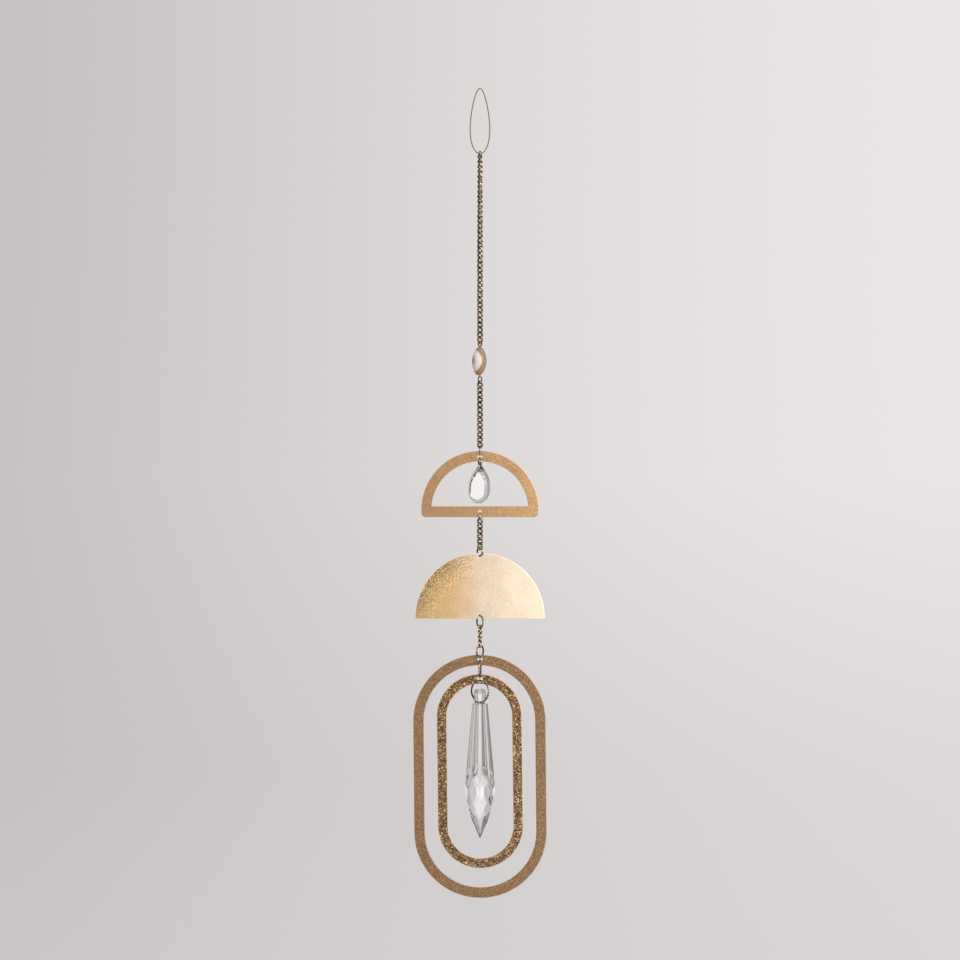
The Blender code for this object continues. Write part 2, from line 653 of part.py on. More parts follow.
def upper_part():
    """Hangs the loop, the chains, the bead and the open half moon. Gives how low the lowest ring reaches."""
    link = LINK_WIRE_RADIUS
    bottom = hanging_loop()
    top = hang_below(bottom, LOOP_WIRE_RADIUS, link)
    bottom = chain("upper_chain", top, UPPER_CHAIN_LINKS, UPPER_CHAIN_TURN, 0.0)
    bottom = bead_and_wire(hang_below(bottom, link, BEAD_WIRE_RADIUS))
    bottom = chain("lower_chain", hang_below(bottom, BEAD_WIRE_RADIUS, link), LOWER_CHAIN_LINKS)

    bottom = jump_ring("frame_ring_top", FRAME_TOP_RING, hang_below(bottom, link, FRAME_TOP_RING[1]))
    top_hole = two_wire_hole(FRAME_TOP_RING[1], DROP_UPPER_RING[1])
    bottom_hole = one_wire_hole(FRAME_BOTTOM_RING[1])
    hole_middle = hole_around(bottom, FRAME_TOP_RING[1], top_hole)
    top = ring_in_hole(hole_middle, top_hole, DROP_UPPER_RING[1])
    bottom = jump_ring("drop_ring_upper", DROP_UPPER_RING, top)
    top = hang_below(bottom, DROP_UPPER_RING[1], DROP_LOWER_RING[1])
    bottom = jump_ring("drop_ring_lower", DROP_LOWER_RING, top)
    drop_bottom = crystal_drop(bottom, DROP_LOWER_RING)
    lower_hole = half_moon_frame(hole_middle, top_hole, bottom_hole, drop_bottom)
    top = ring_in_hole(lower_hole, bottom_hole, FRAME_BOTTOM_RING[1])
    return jump_ring("frame_ring_bottom", FRAME_BOTTOM_RING, top)


def middle_part(bottom):
    """Hangs the solid half moon between its chains. Gives how low the short chain reaches."""
    link = LINK_WIRE_RADIUS
    bottom = chain("middle_chain", hang_below(bottom, FRAME_BOTTOM_RING[1], link), MIDDLE_CHAIN_LINKS)
    bottom = jump_ring("plate_ring_top", PLATE_TOP_RING, hang_below(bottom, link, PLATE_TOP_RING[1]))
    top_hole = one_wire_hole(PLATE_TOP_RING[1])
    bottom_hole = one_wire_hole(PLATE_BOTTOM_RING[1])
    hole_middle = hole_around(bottom, PLATE_TOP_RING[1], top_hole)
    lower_hole = half_moon_plate(hole_middle, top_hole, bottom_hole)
    top = ring_in_hole(lower_hole, bottom_hole, PLATE_BOTTOM_RING[1])
    bottom = jump_ring("plate_ring_bottom", PLATE_BOTTOM_RING, top)
    return chain("short_chain", hang_below(bottom, PLATE_BOTTOM_RING[1], link), SHORT_CHAIN_LINKS,
                 SHORT_CHAIN_FIRST_TURN, SHORT_CHAIN_LAST_TURN)


def lower_part(bottom):
    """Hangs the two ovals and the icicle, and gives the ovals their lengths from what hangs in them."""
    bottom = jump_ring("oval_ring_top", OVAL_TOP_RING, hang_below(bottom, LINK_WIRE_RADIUS, OVAL_TOP_RING[1]))
    large_hole = two_wire_hole(OVAL_TOP_RING[1], OVAL_LINK_RING[1])
    large_middle = hole_around(bottom, OVAL_TOP_RING[1], large_hole)
    top = ring_in_hole(large_middle, large_hole, OVAL_LINK_RING[1])
    bottom = jump_ring("oval_link_ring", OVAL_LINK_RING, top)
    small_hole = two_wire_hole(OVAL_LINK_RING[1], ICICLE_RING[1]) + SLANT_ROOM
    small_middle = hole_around(bottom, OVAL_LINK_RING[1], small_hole)
    top = ring_in_hole(small_middle, small_hole, ICICLE_RING[1]) + SLANT_ROOM
    bottom = jump_ring("icicle_ring", ICICLE_RING, top)
    tip = icicle_crystal(bottom, ICICLE_RING)

    small_bottom = tip - SMALL_OVAL_ROOM_BELOW - SMALL_OVAL_BAND
    oval_frame("small_oval", small_middle, small_hole, SMALL_OVAL_HALF_WIDTH, small_bottom,
               SMALL_OVAL_BAND, SMALL_OVAL_INSET, SMALL_OVAL_HOLE_SIDE)
    large_half_width = SMALL_OVAL_HALF_WIDTH + LARGE_OVAL_ROOM_BESIDE + LARGE_OVAL_BAND
    large_bottom = small_bottom - LARGE_OVAL_ROOM_BELOW - LARGE_OVAL_BAND
    oval_frame("large_oval", large_middle, large_hole, large_half_width, large_bottom,
               LARGE_OVAL_BAND, LARGE_OVAL_INSET, LARGE_OVAL_HOLE_SIDE)


lower_part(middle_part(upper_part()))
bpy.context.view_layer.update()
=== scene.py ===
from math import asin, cos, pi, radians, sin, sqrt, tan

import bmesh
import bpy
import numpy as np
from mathutils import Matrix, Vector


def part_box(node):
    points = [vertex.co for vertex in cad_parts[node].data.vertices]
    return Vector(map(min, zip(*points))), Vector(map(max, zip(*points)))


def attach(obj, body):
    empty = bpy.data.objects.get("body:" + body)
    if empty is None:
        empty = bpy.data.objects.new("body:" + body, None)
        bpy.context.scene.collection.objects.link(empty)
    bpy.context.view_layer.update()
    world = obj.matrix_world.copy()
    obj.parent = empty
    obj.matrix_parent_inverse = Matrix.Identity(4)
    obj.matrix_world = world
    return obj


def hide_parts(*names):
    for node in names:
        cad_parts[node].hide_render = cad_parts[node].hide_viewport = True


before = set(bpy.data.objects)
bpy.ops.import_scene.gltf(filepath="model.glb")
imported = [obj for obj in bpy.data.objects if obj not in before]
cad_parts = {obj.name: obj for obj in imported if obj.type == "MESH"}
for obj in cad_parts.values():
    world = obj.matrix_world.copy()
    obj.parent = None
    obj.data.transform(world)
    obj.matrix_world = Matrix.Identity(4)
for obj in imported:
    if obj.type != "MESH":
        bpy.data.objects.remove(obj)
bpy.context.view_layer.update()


# The hanging loop: stranded steel beading wire under a clear coat, closed into a teardrop to hang the
# piece by. Six fine strands run round a seventh, which gives the thin grey line its soft twist.

def frames_along(path, outward, closed):
    """Unit normals and binormals: the outward directions made square to the path's central differences."""
    if closed:
        tangent = np.roll(path, -1, axis=-2) - np.roll(path, 1, axis=-2)
    else:
        tangent = np.gradient(path, axis=-2)
    tangent /= np.linalg.norm(tangent, axis=-1, keepdims=True)
    normal = outward - (outward * tangent).sum(-1, keepdims=True) * tangent
    normal /= np.linalg.norm(normal, axis=-1, keepdims=True)
    return normal, np.cross(tangent, normal)


def round_wire(path, outward, radius, sides, closed=True):
    """A tube: path + radius (cos a normal + sin a binormal) for every path point and angle a."""
    normal, binormal = frames_along(path, outward, closed)
    a = 2.0 * pi * np.arange(sides) / sides
    ring = np.cos(a)[:, None] * normal[..., None, :] + np.sin(a)[:, None] * binormal[..., None, :]
    return path[..., None, :] + radius * ring


def skin(name, grids, closed=True):
    """A mesh over grids of points (piece, along, round), of quads that close round each tube.

    Along it they close too, or else a cap closes either end. Edges over 60 degrees stay sharp.
    """
    pieces, along, round_count = grids.shape[:3]
    i, j = np.meshgrid(np.arange(along if closed else along - 1), np.arange(round_count), indexing="ij")
    after, beside = (i + 1) % along, (j + 1) % round_count
    quads = np.stack([i * round_count + j, after * round_count + j, after * round_count + beside,
                      i * round_count + beside], axis=-1).reshape(-1, 4)
    offset = np.arange(pieces)[:, None, None] * along * round_count
    faces = (quads[None] + offset).reshape(-1, 4).tolist()
    if not closed:
        for start in offset.ravel().tolist():
            faces.append([start + k for k in range(round_count)])
            last = start + (along - 1) * round_count
            faces.append([last + k for k in reversed(range(round_count))])
    mesh = bpy.data.meshes.new(name)
    mesh.from_pydata(grids.reshape(-1, 3).tolist(), [], faces)
    mesh.shade_smooth()
    mesh.set_sharp_from_angle(angle=radians(60))
    return mesh


def outward_faces(mesh):
    """Turns every face of a closed mesh outwards."""
    work = bmesh.new()
    work.from_mesh(mesh)
    bmesh.ops.recalc_face_normals(work, faces=work.faces)
    work.to_mesh(mesh)
    work.free()
    return mesh


def hang(name, mesh, finish, node):
    """Puts a finished mesh into the scene in place of its CAD node, on the one body there is."""
    piece = bpy.data.objects.new(name, mesh)
    bpy.context.scene.collection.objects.link(piece)
    mesh.materials.clear()
    mesh.materials.append(finish)
    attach(piece, "root")
    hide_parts(node)
    return piece


class Finish:
    """A material whose nodes are added one by one; an input takes a value or another node's output."""

    def __init__(self, name):
        self.material = bpy.data.materials.new(name)
        self.material.use_nodes = True
        self.tree = self.material.node_tree
        self.shader = self.tree.nodes["Principled BSDF"]

    def feed(self, socket, value):
        """Links another node's output to a socket, or sets the socket's own value."""
        if isinstance(value, bpy.types.NodeSocket):
            self.tree.links.new(value, socket)
        elif isinstance(value, tuple) and socket.type == "RGBA":
            socket.default_value = (*value, 1.0)
        else:
            socket.default_value = value

    def set(self, node, **inputs):
        """Feeds a node's inputs by name, with _ for a space."""
        for key, value in inputs.items():
            self.feed(node.inputs[key.replace("_", " ")], value)
        return node

    def add(self, kind, settings=None, **inputs):
        """Adds a node with its settings and inputs."""
        node = self.tree.nodes.new("ShaderNode" + kind)
        for key, value in (settings or {}).items():
            setattr(node, key, value)
        return self.set(node, **inputs)

    def place(self):
        """The point in the row frame, in metres."""
        return self.add("TexCoord").outputs["Object"]

    def noise(self, size, detail=2.0):
        """Noise whose lumps are about the given size in metres, from 0 to 1."""
        return self.add("TexNoise", Vector=self.place(), Scale=1.0 / size, Detail=detail).outputs["Fac"]

    def ramp(self, factor, low, high, to_low=0.0, to_high=1.0, kind="LINEAR"):
        """Maps a value from low..high to to_low..to_high, and holds it there."""
        node = self.add("MapRange", {"clamp": True, "interpolation_type": kind}, Value=factor,
                        From_Min=low, From_Max=high, To_Min=to_low, To_Max=to_high)
        return node.outputs["Result"]

    def blend(self, factor, first, second):
        """Mixes two colours."""
        node = self.add("Mix", {"data_type": "RGBA"})
        for number, value in ((0, factor), (6, first), (7, second)):
            self.feed(node.inputs[number], value)
        return node.outputs[2]

    def maths(self, operation, first, second=0.0):
        """One sum of two numbers."""
        node = self.add("Math", {"operation": operation})
        for socket, value in zip(node.inputs, (first, second)):
            self.feed(socket, value)
        return node.outputs[0]

    def relief(self, height, depth, strength=1.0):
        """A bump whose height runs from nothing to the given depth in metres."""
        return self.add("Bump", Height=height, Distance=depth, Strength=strength).outputs["Normal"]

    def vector(self, operation, *values):
        """One sum of vectors; single numbers stand for a vector of three equal ones."""
        node = self.add("VectorMath", {"operation": operation})
        for socket, value in zip(node.inputs, values):
            self.feed(socket, (value, value, value) if isinstance(value, float) else value)
        return node.outputs["Vector"]

    def distance(self, place, centre):
        """How far a point is from a fixed centre, in metres."""
        node = self.add("VectorMath", {"operation": "DISTANCE"}, Vector=place)
        node.inputs[1].default_value = centre
        return node.outputs["Value"]

    def dress(self, **inputs):
        """Sets the surface shader's own inputs."""
        return self.set(self.shader, **inputs)


LOOP_STRANDS = 6
LOOP_STRAND_RADIUS = 0.00011
LOOP_TWISTS = 34
LOOP_POINTS = 480
LOOP_SIDES = 6


def teardrop(t, low, high, wire):
    """The loop's middle line: half width = sin t times a swell that grows downwards, by the CAD's rule."""
    upper_swell, lower_swell = 0.0036, 0.0064
    depth = (1.0 - np.cos(t)) / 2.0
    swell = upper_swell + (lower_swell - upper_swell) * depth
    top, bottom = high.z - wire, low.z + wire
    return np.column_stack([swell * np.sin(t), np.zeros(len(t)), top + (bottom - top) * depth])


def hanging_loop():
    """Strands wound round a core strand that follows the teardrop."""
    low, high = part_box("hanging_loop")
    wire = (high.y - low.y) / 2.0
    t = 2.0 * pi * np.arange(LOOP_POINTS) / LOOP_POINTS
    core = teardrop(t, low, high, wire)
    back = np.array([0.0, 1.0, 0.0])
    normal, binormal = frames_along(core, back, True)
    lines = [core]
    for k in range(LOOP_STRANDS):
        a = (LOOP_TWISTS * t + 2.0 * pi * k / LOOP_STRANDS)[:, None]
        lines.append(core + 2.0 * LOOP_STRAND_RADIUS * (np.cos(a) * normal + np.sin(a) * binormal))
    return skin("wire_loop", round_wire(np.stack(lines), back, LOOP_STRAND_RADIUS, LOOP_SIDES))


def coated_wire():
    """Grey steel strands, a little mauve and dulled by their coat."""
    finish = Finish("coated_wire")
    mottle = finish.noise(0.0011)
    finish.dress(
        Base_Color=finish.blend(mottle, (0.19, 0.145, 0.138), (0.27, 0.215, 0.205)),
        Metallic=0.25,
        Roughness=finish.ramp(mottle, 0.3, 0.7, 0.45, 0.6),
        Coat_Weight=0.3,
        Coat_Roughness=0.3,
    )
    return finish.material


hang("wire_loop", hanging_loop(), coated_wire(), "hanging_loop")


# The chain: small round curb links of antiqued brass wire, each twisted so that they lie flat, closed
# through one another. High spots are rubbed bright and the insides of the links have stayed dark.

LINK_PITCH = 0.00265
LINK_HALF_WIDTH = 0.00112
LINK_WIRE = 0.00047
LINK_TWIST = -0.00062
LINK_POINTS = 28
LINK_SIDES = 8


def curb_links(node, count, first_turn, last_turn):
    """Links on ellipses whose sides are twisted front and back by sin 2t, one pitch apart down the run.

    Each link's wire just touches the next one's, so its half height is half a pitch and one wire radius.
    """
    low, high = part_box(node)
    middle = (low.z + high.z) / 2.0 + LINK_PITCH * ((count - 1) / 2.0 - np.arange(count))
    turn = np.radians(np.linspace(first_turn, last_turn, count))[:, None]
    t = 2.0 * pi * np.arange(LINK_POINTS)[None, :] / LINK_POINTS
    across = LINK_HALF_WIDTH * np.cos(t)
    depth = LINK_TWIST * np.sin(2.0 * t)
    x = across * np.cos(turn) - depth * np.sin(turn)
    y = across * np.sin(turn) + depth * np.cos(turn)
    rise = np.broadcast_to((LINK_PITCH / 2.0 + LINK_WIRE) * np.sin(t), x.shape)
    path = np.stack([x, y, middle[:, None] + rise], axis=-1)
    outward = np.stack([x, y, rise], axis=-1)
    return path, outward


def rub_marks(mesh, grids, centres):
    """Stores how far each point faces away from the middle of its link or ring, for the rubbed brass."""
    away = grids - centres
    spine = grids.mean(axis=2, keepdims=True)
    side = grids - spine
    side /= np.linalg.norm(side, axis=-1, keepdims=True)
    away /= np.linalg.norm(away, axis=-1, keepdims=True)
    rub = (side * away).sum(-1)
    mesh.attributes.new("rub", "FLOAT", "POINT").data.foreach_set("value", rub.astype(np.float32).ravel())
    return mesh


def antiqued_brass():
    """Brass wire darkened in the hollows and rubbed bright outside, with a fine drawn grain."""
    finish = Finish("antiqued_brass")
    rub = finish.add("Attribute", {"attribute_name": "rub"}).outputs["Fac"]
    patch = finish.noise(0.0009, 3.0)
    worn = finish.maths("ADD", finish.ramp(rub, -0.5, 0.95, 0.0, 0.55),
                        finish.ramp(patch, 0.38, 0.66, -0.35, 0.5))
    dark, warm, bright = (0.026, 0.016, 0.009), (0.18, 0.112, 0.054), (0.84, 0.68, 0.44)
    low = finish.blend(finish.ramp(worn, 0.0, 0.45), dark, warm)
    finish.dress(
        Base_Color=finish.blend(finish.ramp(worn, 0.4, 0.95), low, bright),
        Metallic=1.0,
        Roughness=finish.ramp(worn, 0.0, 1.0, 0.48, 0.24),
        Normal=finish.relief(finish.noise(0.00014, 1.0), 0.00001, 0.4),
    )
    return finish.material


ANTIQUED_BRASS = antiqued_brass()


def hang_chain(node, count, first_turn=0.0, last_turn=0.0):
    """Builds one run of chain over its CAD node, turned evenly by degrees from its first link to its last."""
    path, outward = curb_links(node, count, first_turn, last_turn)
    grids = round_wire(path, outward, LINK_WIRE, LINK_SIDES)
    mesh = rub_marks(skin(node + "_links", grids), grids, (path - outward)[:, :, None, :])
    hang(node + "_links", mesh, ANTIQUED_BRASS, node)


hang_chain("upper_chain", count=38, first_turn=-65.0)
hang_chain("lower_chain", count=13)
hang_chain("middle_chain", count=6)
hang_chain("short_chain", count=4, first_turn=70.0, last_turn=90.0)


# The jump rings: round brass wire bent into rings and closed with pliers, so each has a fine cut where
# its two ends meet. Each is turned as the pull of what hangs from it leaves it.

CUT_ANGLE = radians(2.5)
PLATING = 0.00008
RING_POINTS = 72
RING_SIDES = 12


def hang_ring(node, wire, turn, cut_at):
    """A ring of wire in an upright plane, turned by degrees, with its cut at an angle from its right side."""
    low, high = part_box(node)
    middle = np.array((low + high) / 2.0)
    line = (high.z - low.z) / 2.0 - wire
    start = radians(cut_at) + CUT_ANGLE / 2.0
    t = np.linspace(start, start + 2.0 * pi - CUT_ANGLE, RING_POINTS)
    plane = np.array([cos(radians(turn)), sin(radians(turn)), 0.0])
    outward = np.cos(t)[:, None] * plane + np.sin(t)[:, None] * np.array([0.0, 0.0, 1.0])
    path = middle + line * outward
    grids = round_wire(path[None], outward[None], wire + PLATING, RING_SIDES, closed=False)
    mesh = rub_marks(skin(node + "_wire", grids, closed=False), grids, middle)
    hang(node + "_wire", outward_faces(mesh), ANTIQUED_BRASS, node)


hang_ring("frame_ring_top", wire=0.00035, turn=90.0, cut_at=150.0)
hang_ring("drop_ring_upper", wire=0.00035, turn=112.0, cut_at=20.0)
hang_ring("drop_ring_lower", wire=0.00035, turn=72.0, cut_at=165.0)
hang_ring("frame_ring_bottom", wire=0.00030, turn=90.0, cut_at=10.0)
hang_ring("plate_ring_top", wire=0.00035, turn=-52.0, cut_at=200.0)
hang_ring("plate_ring_bottom", wire=0.00035, turn=-60.0, cut_at=340.0)
hang_ring("oval_ring_top", wire=0.00035, turn=58.0, cut_at=30.0)
hang_ring("oval_link_ring", wire=0.00045, turn=86.0, cut_at=190.0)
hang_ring("icicle_ring", wire=0.00035, turn=-37.0, cut_at=25.0)


# The eyed wire: one length of the same brass wire through the bead, bent into an open eye at each end
# that the chain's last link was slipped into.

EYE_WIRE = 0.00035
EYE_TURN = radians(48.0)
EYE_GAP = radians(24.0)
UPPER_EYE_RADIUS = 0.00135
LOWER_EYE_HALF_WIDTH = 0.00130
LOWER_EYE_HALF_HEIGHT = 0.00195
EYE_POINTS = 34
SHANK_POINTS = 30
EYE_SIDES = 10


def eye_line(half_width, half_height, middle, turn, t):
    """An eye's middle line: width cos t across and height sin t up, in a plane turned about the wire."""
    across = half_width * np.cos(t)
    return np.column_stack([across * cos(turn), across * sin(turn), middle + half_height * np.sin(t)])


def eyed_wire():
    """An eye, a straight shank and another eye: each eye leaves the shank and comes nearly back to it."""
    low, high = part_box("bead_wire")
    upper_middle = high.z - EYE_WIRE - UPPER_EYE_RADIUS
    lower_middle = low.z + EYE_WIRE + LOWER_EYE_HALF_HEIGHT
    t = np.linspace(-pi / 2 + 2.0 * pi - EYE_GAP, -pi / 2, EYE_POINTS)
    upper = eye_line(UPPER_EYE_RADIUS, UPPER_EYE_RADIUS, upper_middle, -EYE_TURN, t)
    t = np.linspace(pi / 2, pi / 2 - 2.0 * pi + EYE_GAP, EYE_POINTS)
    lower = eye_line(LOWER_EYE_HALF_WIDTH, LOWER_EYE_HALF_HEIGHT, lower_middle, EYE_TURN, t)
    shank = np.linspace(upper[-1], lower[0], SHANK_POINTS)[1:-1]
    path = np.vstack([upper, shank, lower])
    aside = radians(20.0)
    outward = np.tile([sin(aside), cos(aside), 0.0], (len(path), 1))
    grids = round_wire(path[None], outward[None], EYE_WIRE, EYE_SIDES, closed=False)
    centre = np.array([0.0, 0.0, (low.z + high.z) / 2.0])
    return rub_marks(skin("eyed_wire", grids, closed=False), grids, centre)


hang("eyed_wire", outward_faces(eyed_wire()), ANTIQUED_BRASS, "bead_wire")


# The bead: a rice shape of banded stone, tan with one milky eye on its left side, bored end to end,
# tumbled smooth and waxed.

BEAD_LENGTH = 0.0148
BEAD_RADIUS = 0.0039
BEAD_BORE = 0.00097
BEAD_LEAN = radians(2.5)
BEAD_ASIDE = -0.0004
BEAD_POINTS = 56
BORE_POINTS = 12
BEAD_SIDES = 64


def stone_bead():
    """The bead turned about its bore: wall (1 - s^2)^0.8, s from end to end, and the bore back up inside."""
    low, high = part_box("stone_bead")
    middle = (low.z + high.z) / 2.0
    s = np.sin(np.linspace(-pi / 2, pi / 2, BEAD_POINTS))
    wall = BEAD_BORE + (BEAD_RADIUS - BEAD_BORE) * (1.0 - s * s) ** 0.8
    bore = np.linspace(1.0, -1.0, BORE_POINTS)[1:-1]
    radius = np.concatenate([wall, np.full(len(bore), BEAD_BORE)])
    height = np.concatenate([s, bore]) * BEAD_LENGTH / 2.0
    a = 2.0 * pi * np.arange(BEAD_SIDES) / BEAD_SIDES
    x = radius[None, :] * np.cos(a)[:, None]
    y = radius[None, :] * np.sin(a)[:, None]
    z = np.broadcast_to(height, x.shape)
    leaned_x = x * cos(BEAD_LEAN) + z * sin(BEAD_LEAN) + BEAD_ASIDE
    leaned_z = z * cos(BEAD_LEAN) - x * sin(BEAD_LEAN) + middle
    return skin("banded_bead", np.stack([leaned_x, y, leaned_z], axis=-1)[None])


def banded_stone():
    """Distance from a point left of the bead sets the bands: milky inside, painted shade on the milk nearest
    the point, a cream line, then tan.
    """
    finish = Finish("banded_stone")
    low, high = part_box("stone_bead")
    middle = (low.z + high.z) / 2.0
    place = finish.place()
    wobble = finish.add("TexNoise", Vector=place, Scale=260.0, Detail=2.0).outputs["Color"]
    moved = finish.vector("MULTIPLY_ADD", wobble, 0.0011, place)
    distance = finish.distance(moved, (-0.0056, -0.0026, middle + 0.0009))
    cloud = finish.noise(0.0022, 2.0)
    milk = finish.blend(finish.ramp(cloud, 0.35, 0.7), (0.70, 0.635, 0.615), (0.79, 0.745, 0.73))
    # Painted shade: nearest the point the milk turns dark grey-mauve, on the bead's left edge.
    milk = finish.blend(finish.ramp(distance, 0.0023, 0.0044), (0.27, 0.225, 0.215), milk)
    bands = finish.maths("SINE", finish.maths("MULTIPLY", distance, 5200.0))
    body = finish.blend(finish.ramp(bands, -1.0, 1.0), (0.25, 0.140, 0.076), (0.30, 0.178, 0.10))
    body = finish.blend(finish.ramp(cloud, 0.3, 0.75), body, (0.37, 0.225, 0.13))
    cream = finish.blend(finish.ramp(distance, 0.0069, 0.0073), (0.74, 0.62, 0.50), body)
    finish.dress(
        Base_Color=finish.blend(finish.ramp(distance, 0.00655, 0.0068), milk, cream),
        Roughness=finish.ramp(cloud, 0.3, 0.7, 0.22, 0.34),
        Coat_Weight=0.15,
        Coat_Roughness=0.12,
        Normal=finish.relief(finish.noise(0.0016, 2.0), 0.00003, 0.25),
    )
    return finish.material


hang("banded_bead", outward_faces(stone_bead()), banded_stone(), "stone_bead")


# The flat shapes: blanked out of brass sheet, their edges broken on a polishing wheel and lightened in colour
# as a painted highlight, so that a thin bright line runs round them, their faces scratch-brushed to a fine
# matte grain. This first one is the open half moon, an arched band on a straight bar.

EDGE_WIDTH, EDGE_DEPTH = 0.00026, 0.00013
CORNER_POINTS = 14
HOLE_POINTS = 48


def arc(centre, radius, start, end, steps):
    """Points of an arc about a centre, both ends included."""
    t = np.linspace(start, end, steps)
    return np.column_stack([centre[0] + radius * np.cos(t), centre[1] + radius * np.sin(t)])


def hole(centre, radius):
    """A round hole, run the other way round from an outer outline."""
    return arc(centre, radius, 2.0 * pi, 0.0, HOLE_POINTS + 1)[:-1]


def inwards(outline):
    """Unit steps into the metal, to the left of the outline's direction of travel at each point."""
    along = np.roll(outline, -1, axis=0) - np.roll(outline, 1, axis=0)
    along /= np.linalg.norm(along, axis=1, keepdims=True)
    return np.column_stack([-along[:, 1], along[:, 0]])


def sheet(name, outlines, holes, front, back):
    """A flat piece: a wall round every outline and hole, and its two faces filled between them.

    Through a corner's angle q the outline lies in by width (1 - sin q) and deep by depth (1 - cos q), from
    the face at q = 0 to the wall at q = 90 degrees. Holes are broken to a third of that width only.
    """
    q = np.radians([0.0, 22.5, 45.0, 67.5, 90.0])
    inset = np.concatenate([1.0 - np.sin(q), 1.0 - np.sin(q[::-1])])
    corner = EDGE_DEPTH * (1.0 - np.cos(q))
    depth = np.concatenate([front + corner, back - corner[::-1]])
    points, quads, start = [], [], 0
    widths = [EDGE_WIDTH] * len(outlines) + [EDGE_WIDTH / 3.0] * len(holes)
    for outline, width in zip(outlines + holes, widths):
        line = outline + width * inset[:, None, None] * inwards(outline)
        level = np.broadcast_to(depth[:, None], line.shape[:2])
        points.append(np.stack([line[..., 0], level, line[..., 1]], axis=-1).reshape(-1, 3))
        count = len(outline)
        i, j = np.meshgrid(np.arange(len(depth) - 1), np.arange(count), indexing="ij")
        beside = (j + 1) % count
        ring = np.stack([i * count + j, i * count + beside,
                         (i + 1) * count + beside, (i + 1) * count + j], axis=-1)
        quads.append(start + ring.reshape(-1, 4))
        start += len(points[-1])
    walls = np.concatenate(quads)
    mesh = bpy.data.meshes.new(name)
    mesh.from_pydata(np.concatenate(points).tolist(), [], walls.tolist())
    work = bmesh.new()
    work.from_mesh(mesh)
    for side in (-1.0, 1.0):
        rim = [edge for edge in work.edges
               if edge.is_boundary and side * (edge.verts[0].co.y - (front + back) / 2.0) > 0.0]
        bmesh.ops.triangle_fill(work, use_beauty=True, edges=rim, normal=(0.0, side, 0.0))
    bmesh.ops.recalc_face_normals(work, faces=work.faces)
    work.to_mesh(mesh)
    work.free()
    wall = np.arange(len(mesh.polygons)) < len(walls)
    mesh.attributes.new("rim", "FLOAT", "FACE").data.foreach_set("value", wall.astype(np.float32))
    mesh.polygons.foreach_set("use_smooth", wall)
    return mesh


def rounded_foot(centre, radius, bottom, corner, steps):
    """An arch on a straight foot, its two corners rounded where both meet."""
    corner_height = bottom + corner
    side = sqrt((radius - corner) ** 2 - (corner_height - centre) ** 2)
    tilt = asin((corner_height - centre) / (radius - corner))
    right = arc((side, corner_height), corner, -pi / 2, tilt, CORNER_POINTS)
    arch = arc((0.0, centre), radius, tilt, pi - tilt, steps)
    left = arc((-side, corner_height), corner, pi - tilt, 1.5 * pi, CORNER_POINTS)
    return np.vstack([right, arch[1:-1], left])


def half_moon_frame():
    """The band's outer outline, its opening with two sharp corners, and a hole in the arch and in the bar."""
    low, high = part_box("half_moon_frame")
    radius = (high.x - low.x) / 2.0
    centre = high.z - radius
    band, bar, corner = 0.00545, 0.0058, 0.0024
    arch_hole, arch_hole_radius = 0.00305, 0.0013
    bar_hole, bar_hole_radius = 0.0029, 0.00105
    outer = rounded_foot(centre, radius, low.z, corner, 180)
    rise = asin((low.z + bar - centre) / (radius - band))
    opening = arc((0.0, centre), radius - band, pi - rise, rise, 160)
    holes = [hole((0.0, high.z - arch_hole), arch_hole_radius),
             hole((0.0, low.z + bar_hole), bar_hole_radius)]
    return sheet("brass_half_moon_frame", [outer, opening], holes, low.y, high.y)


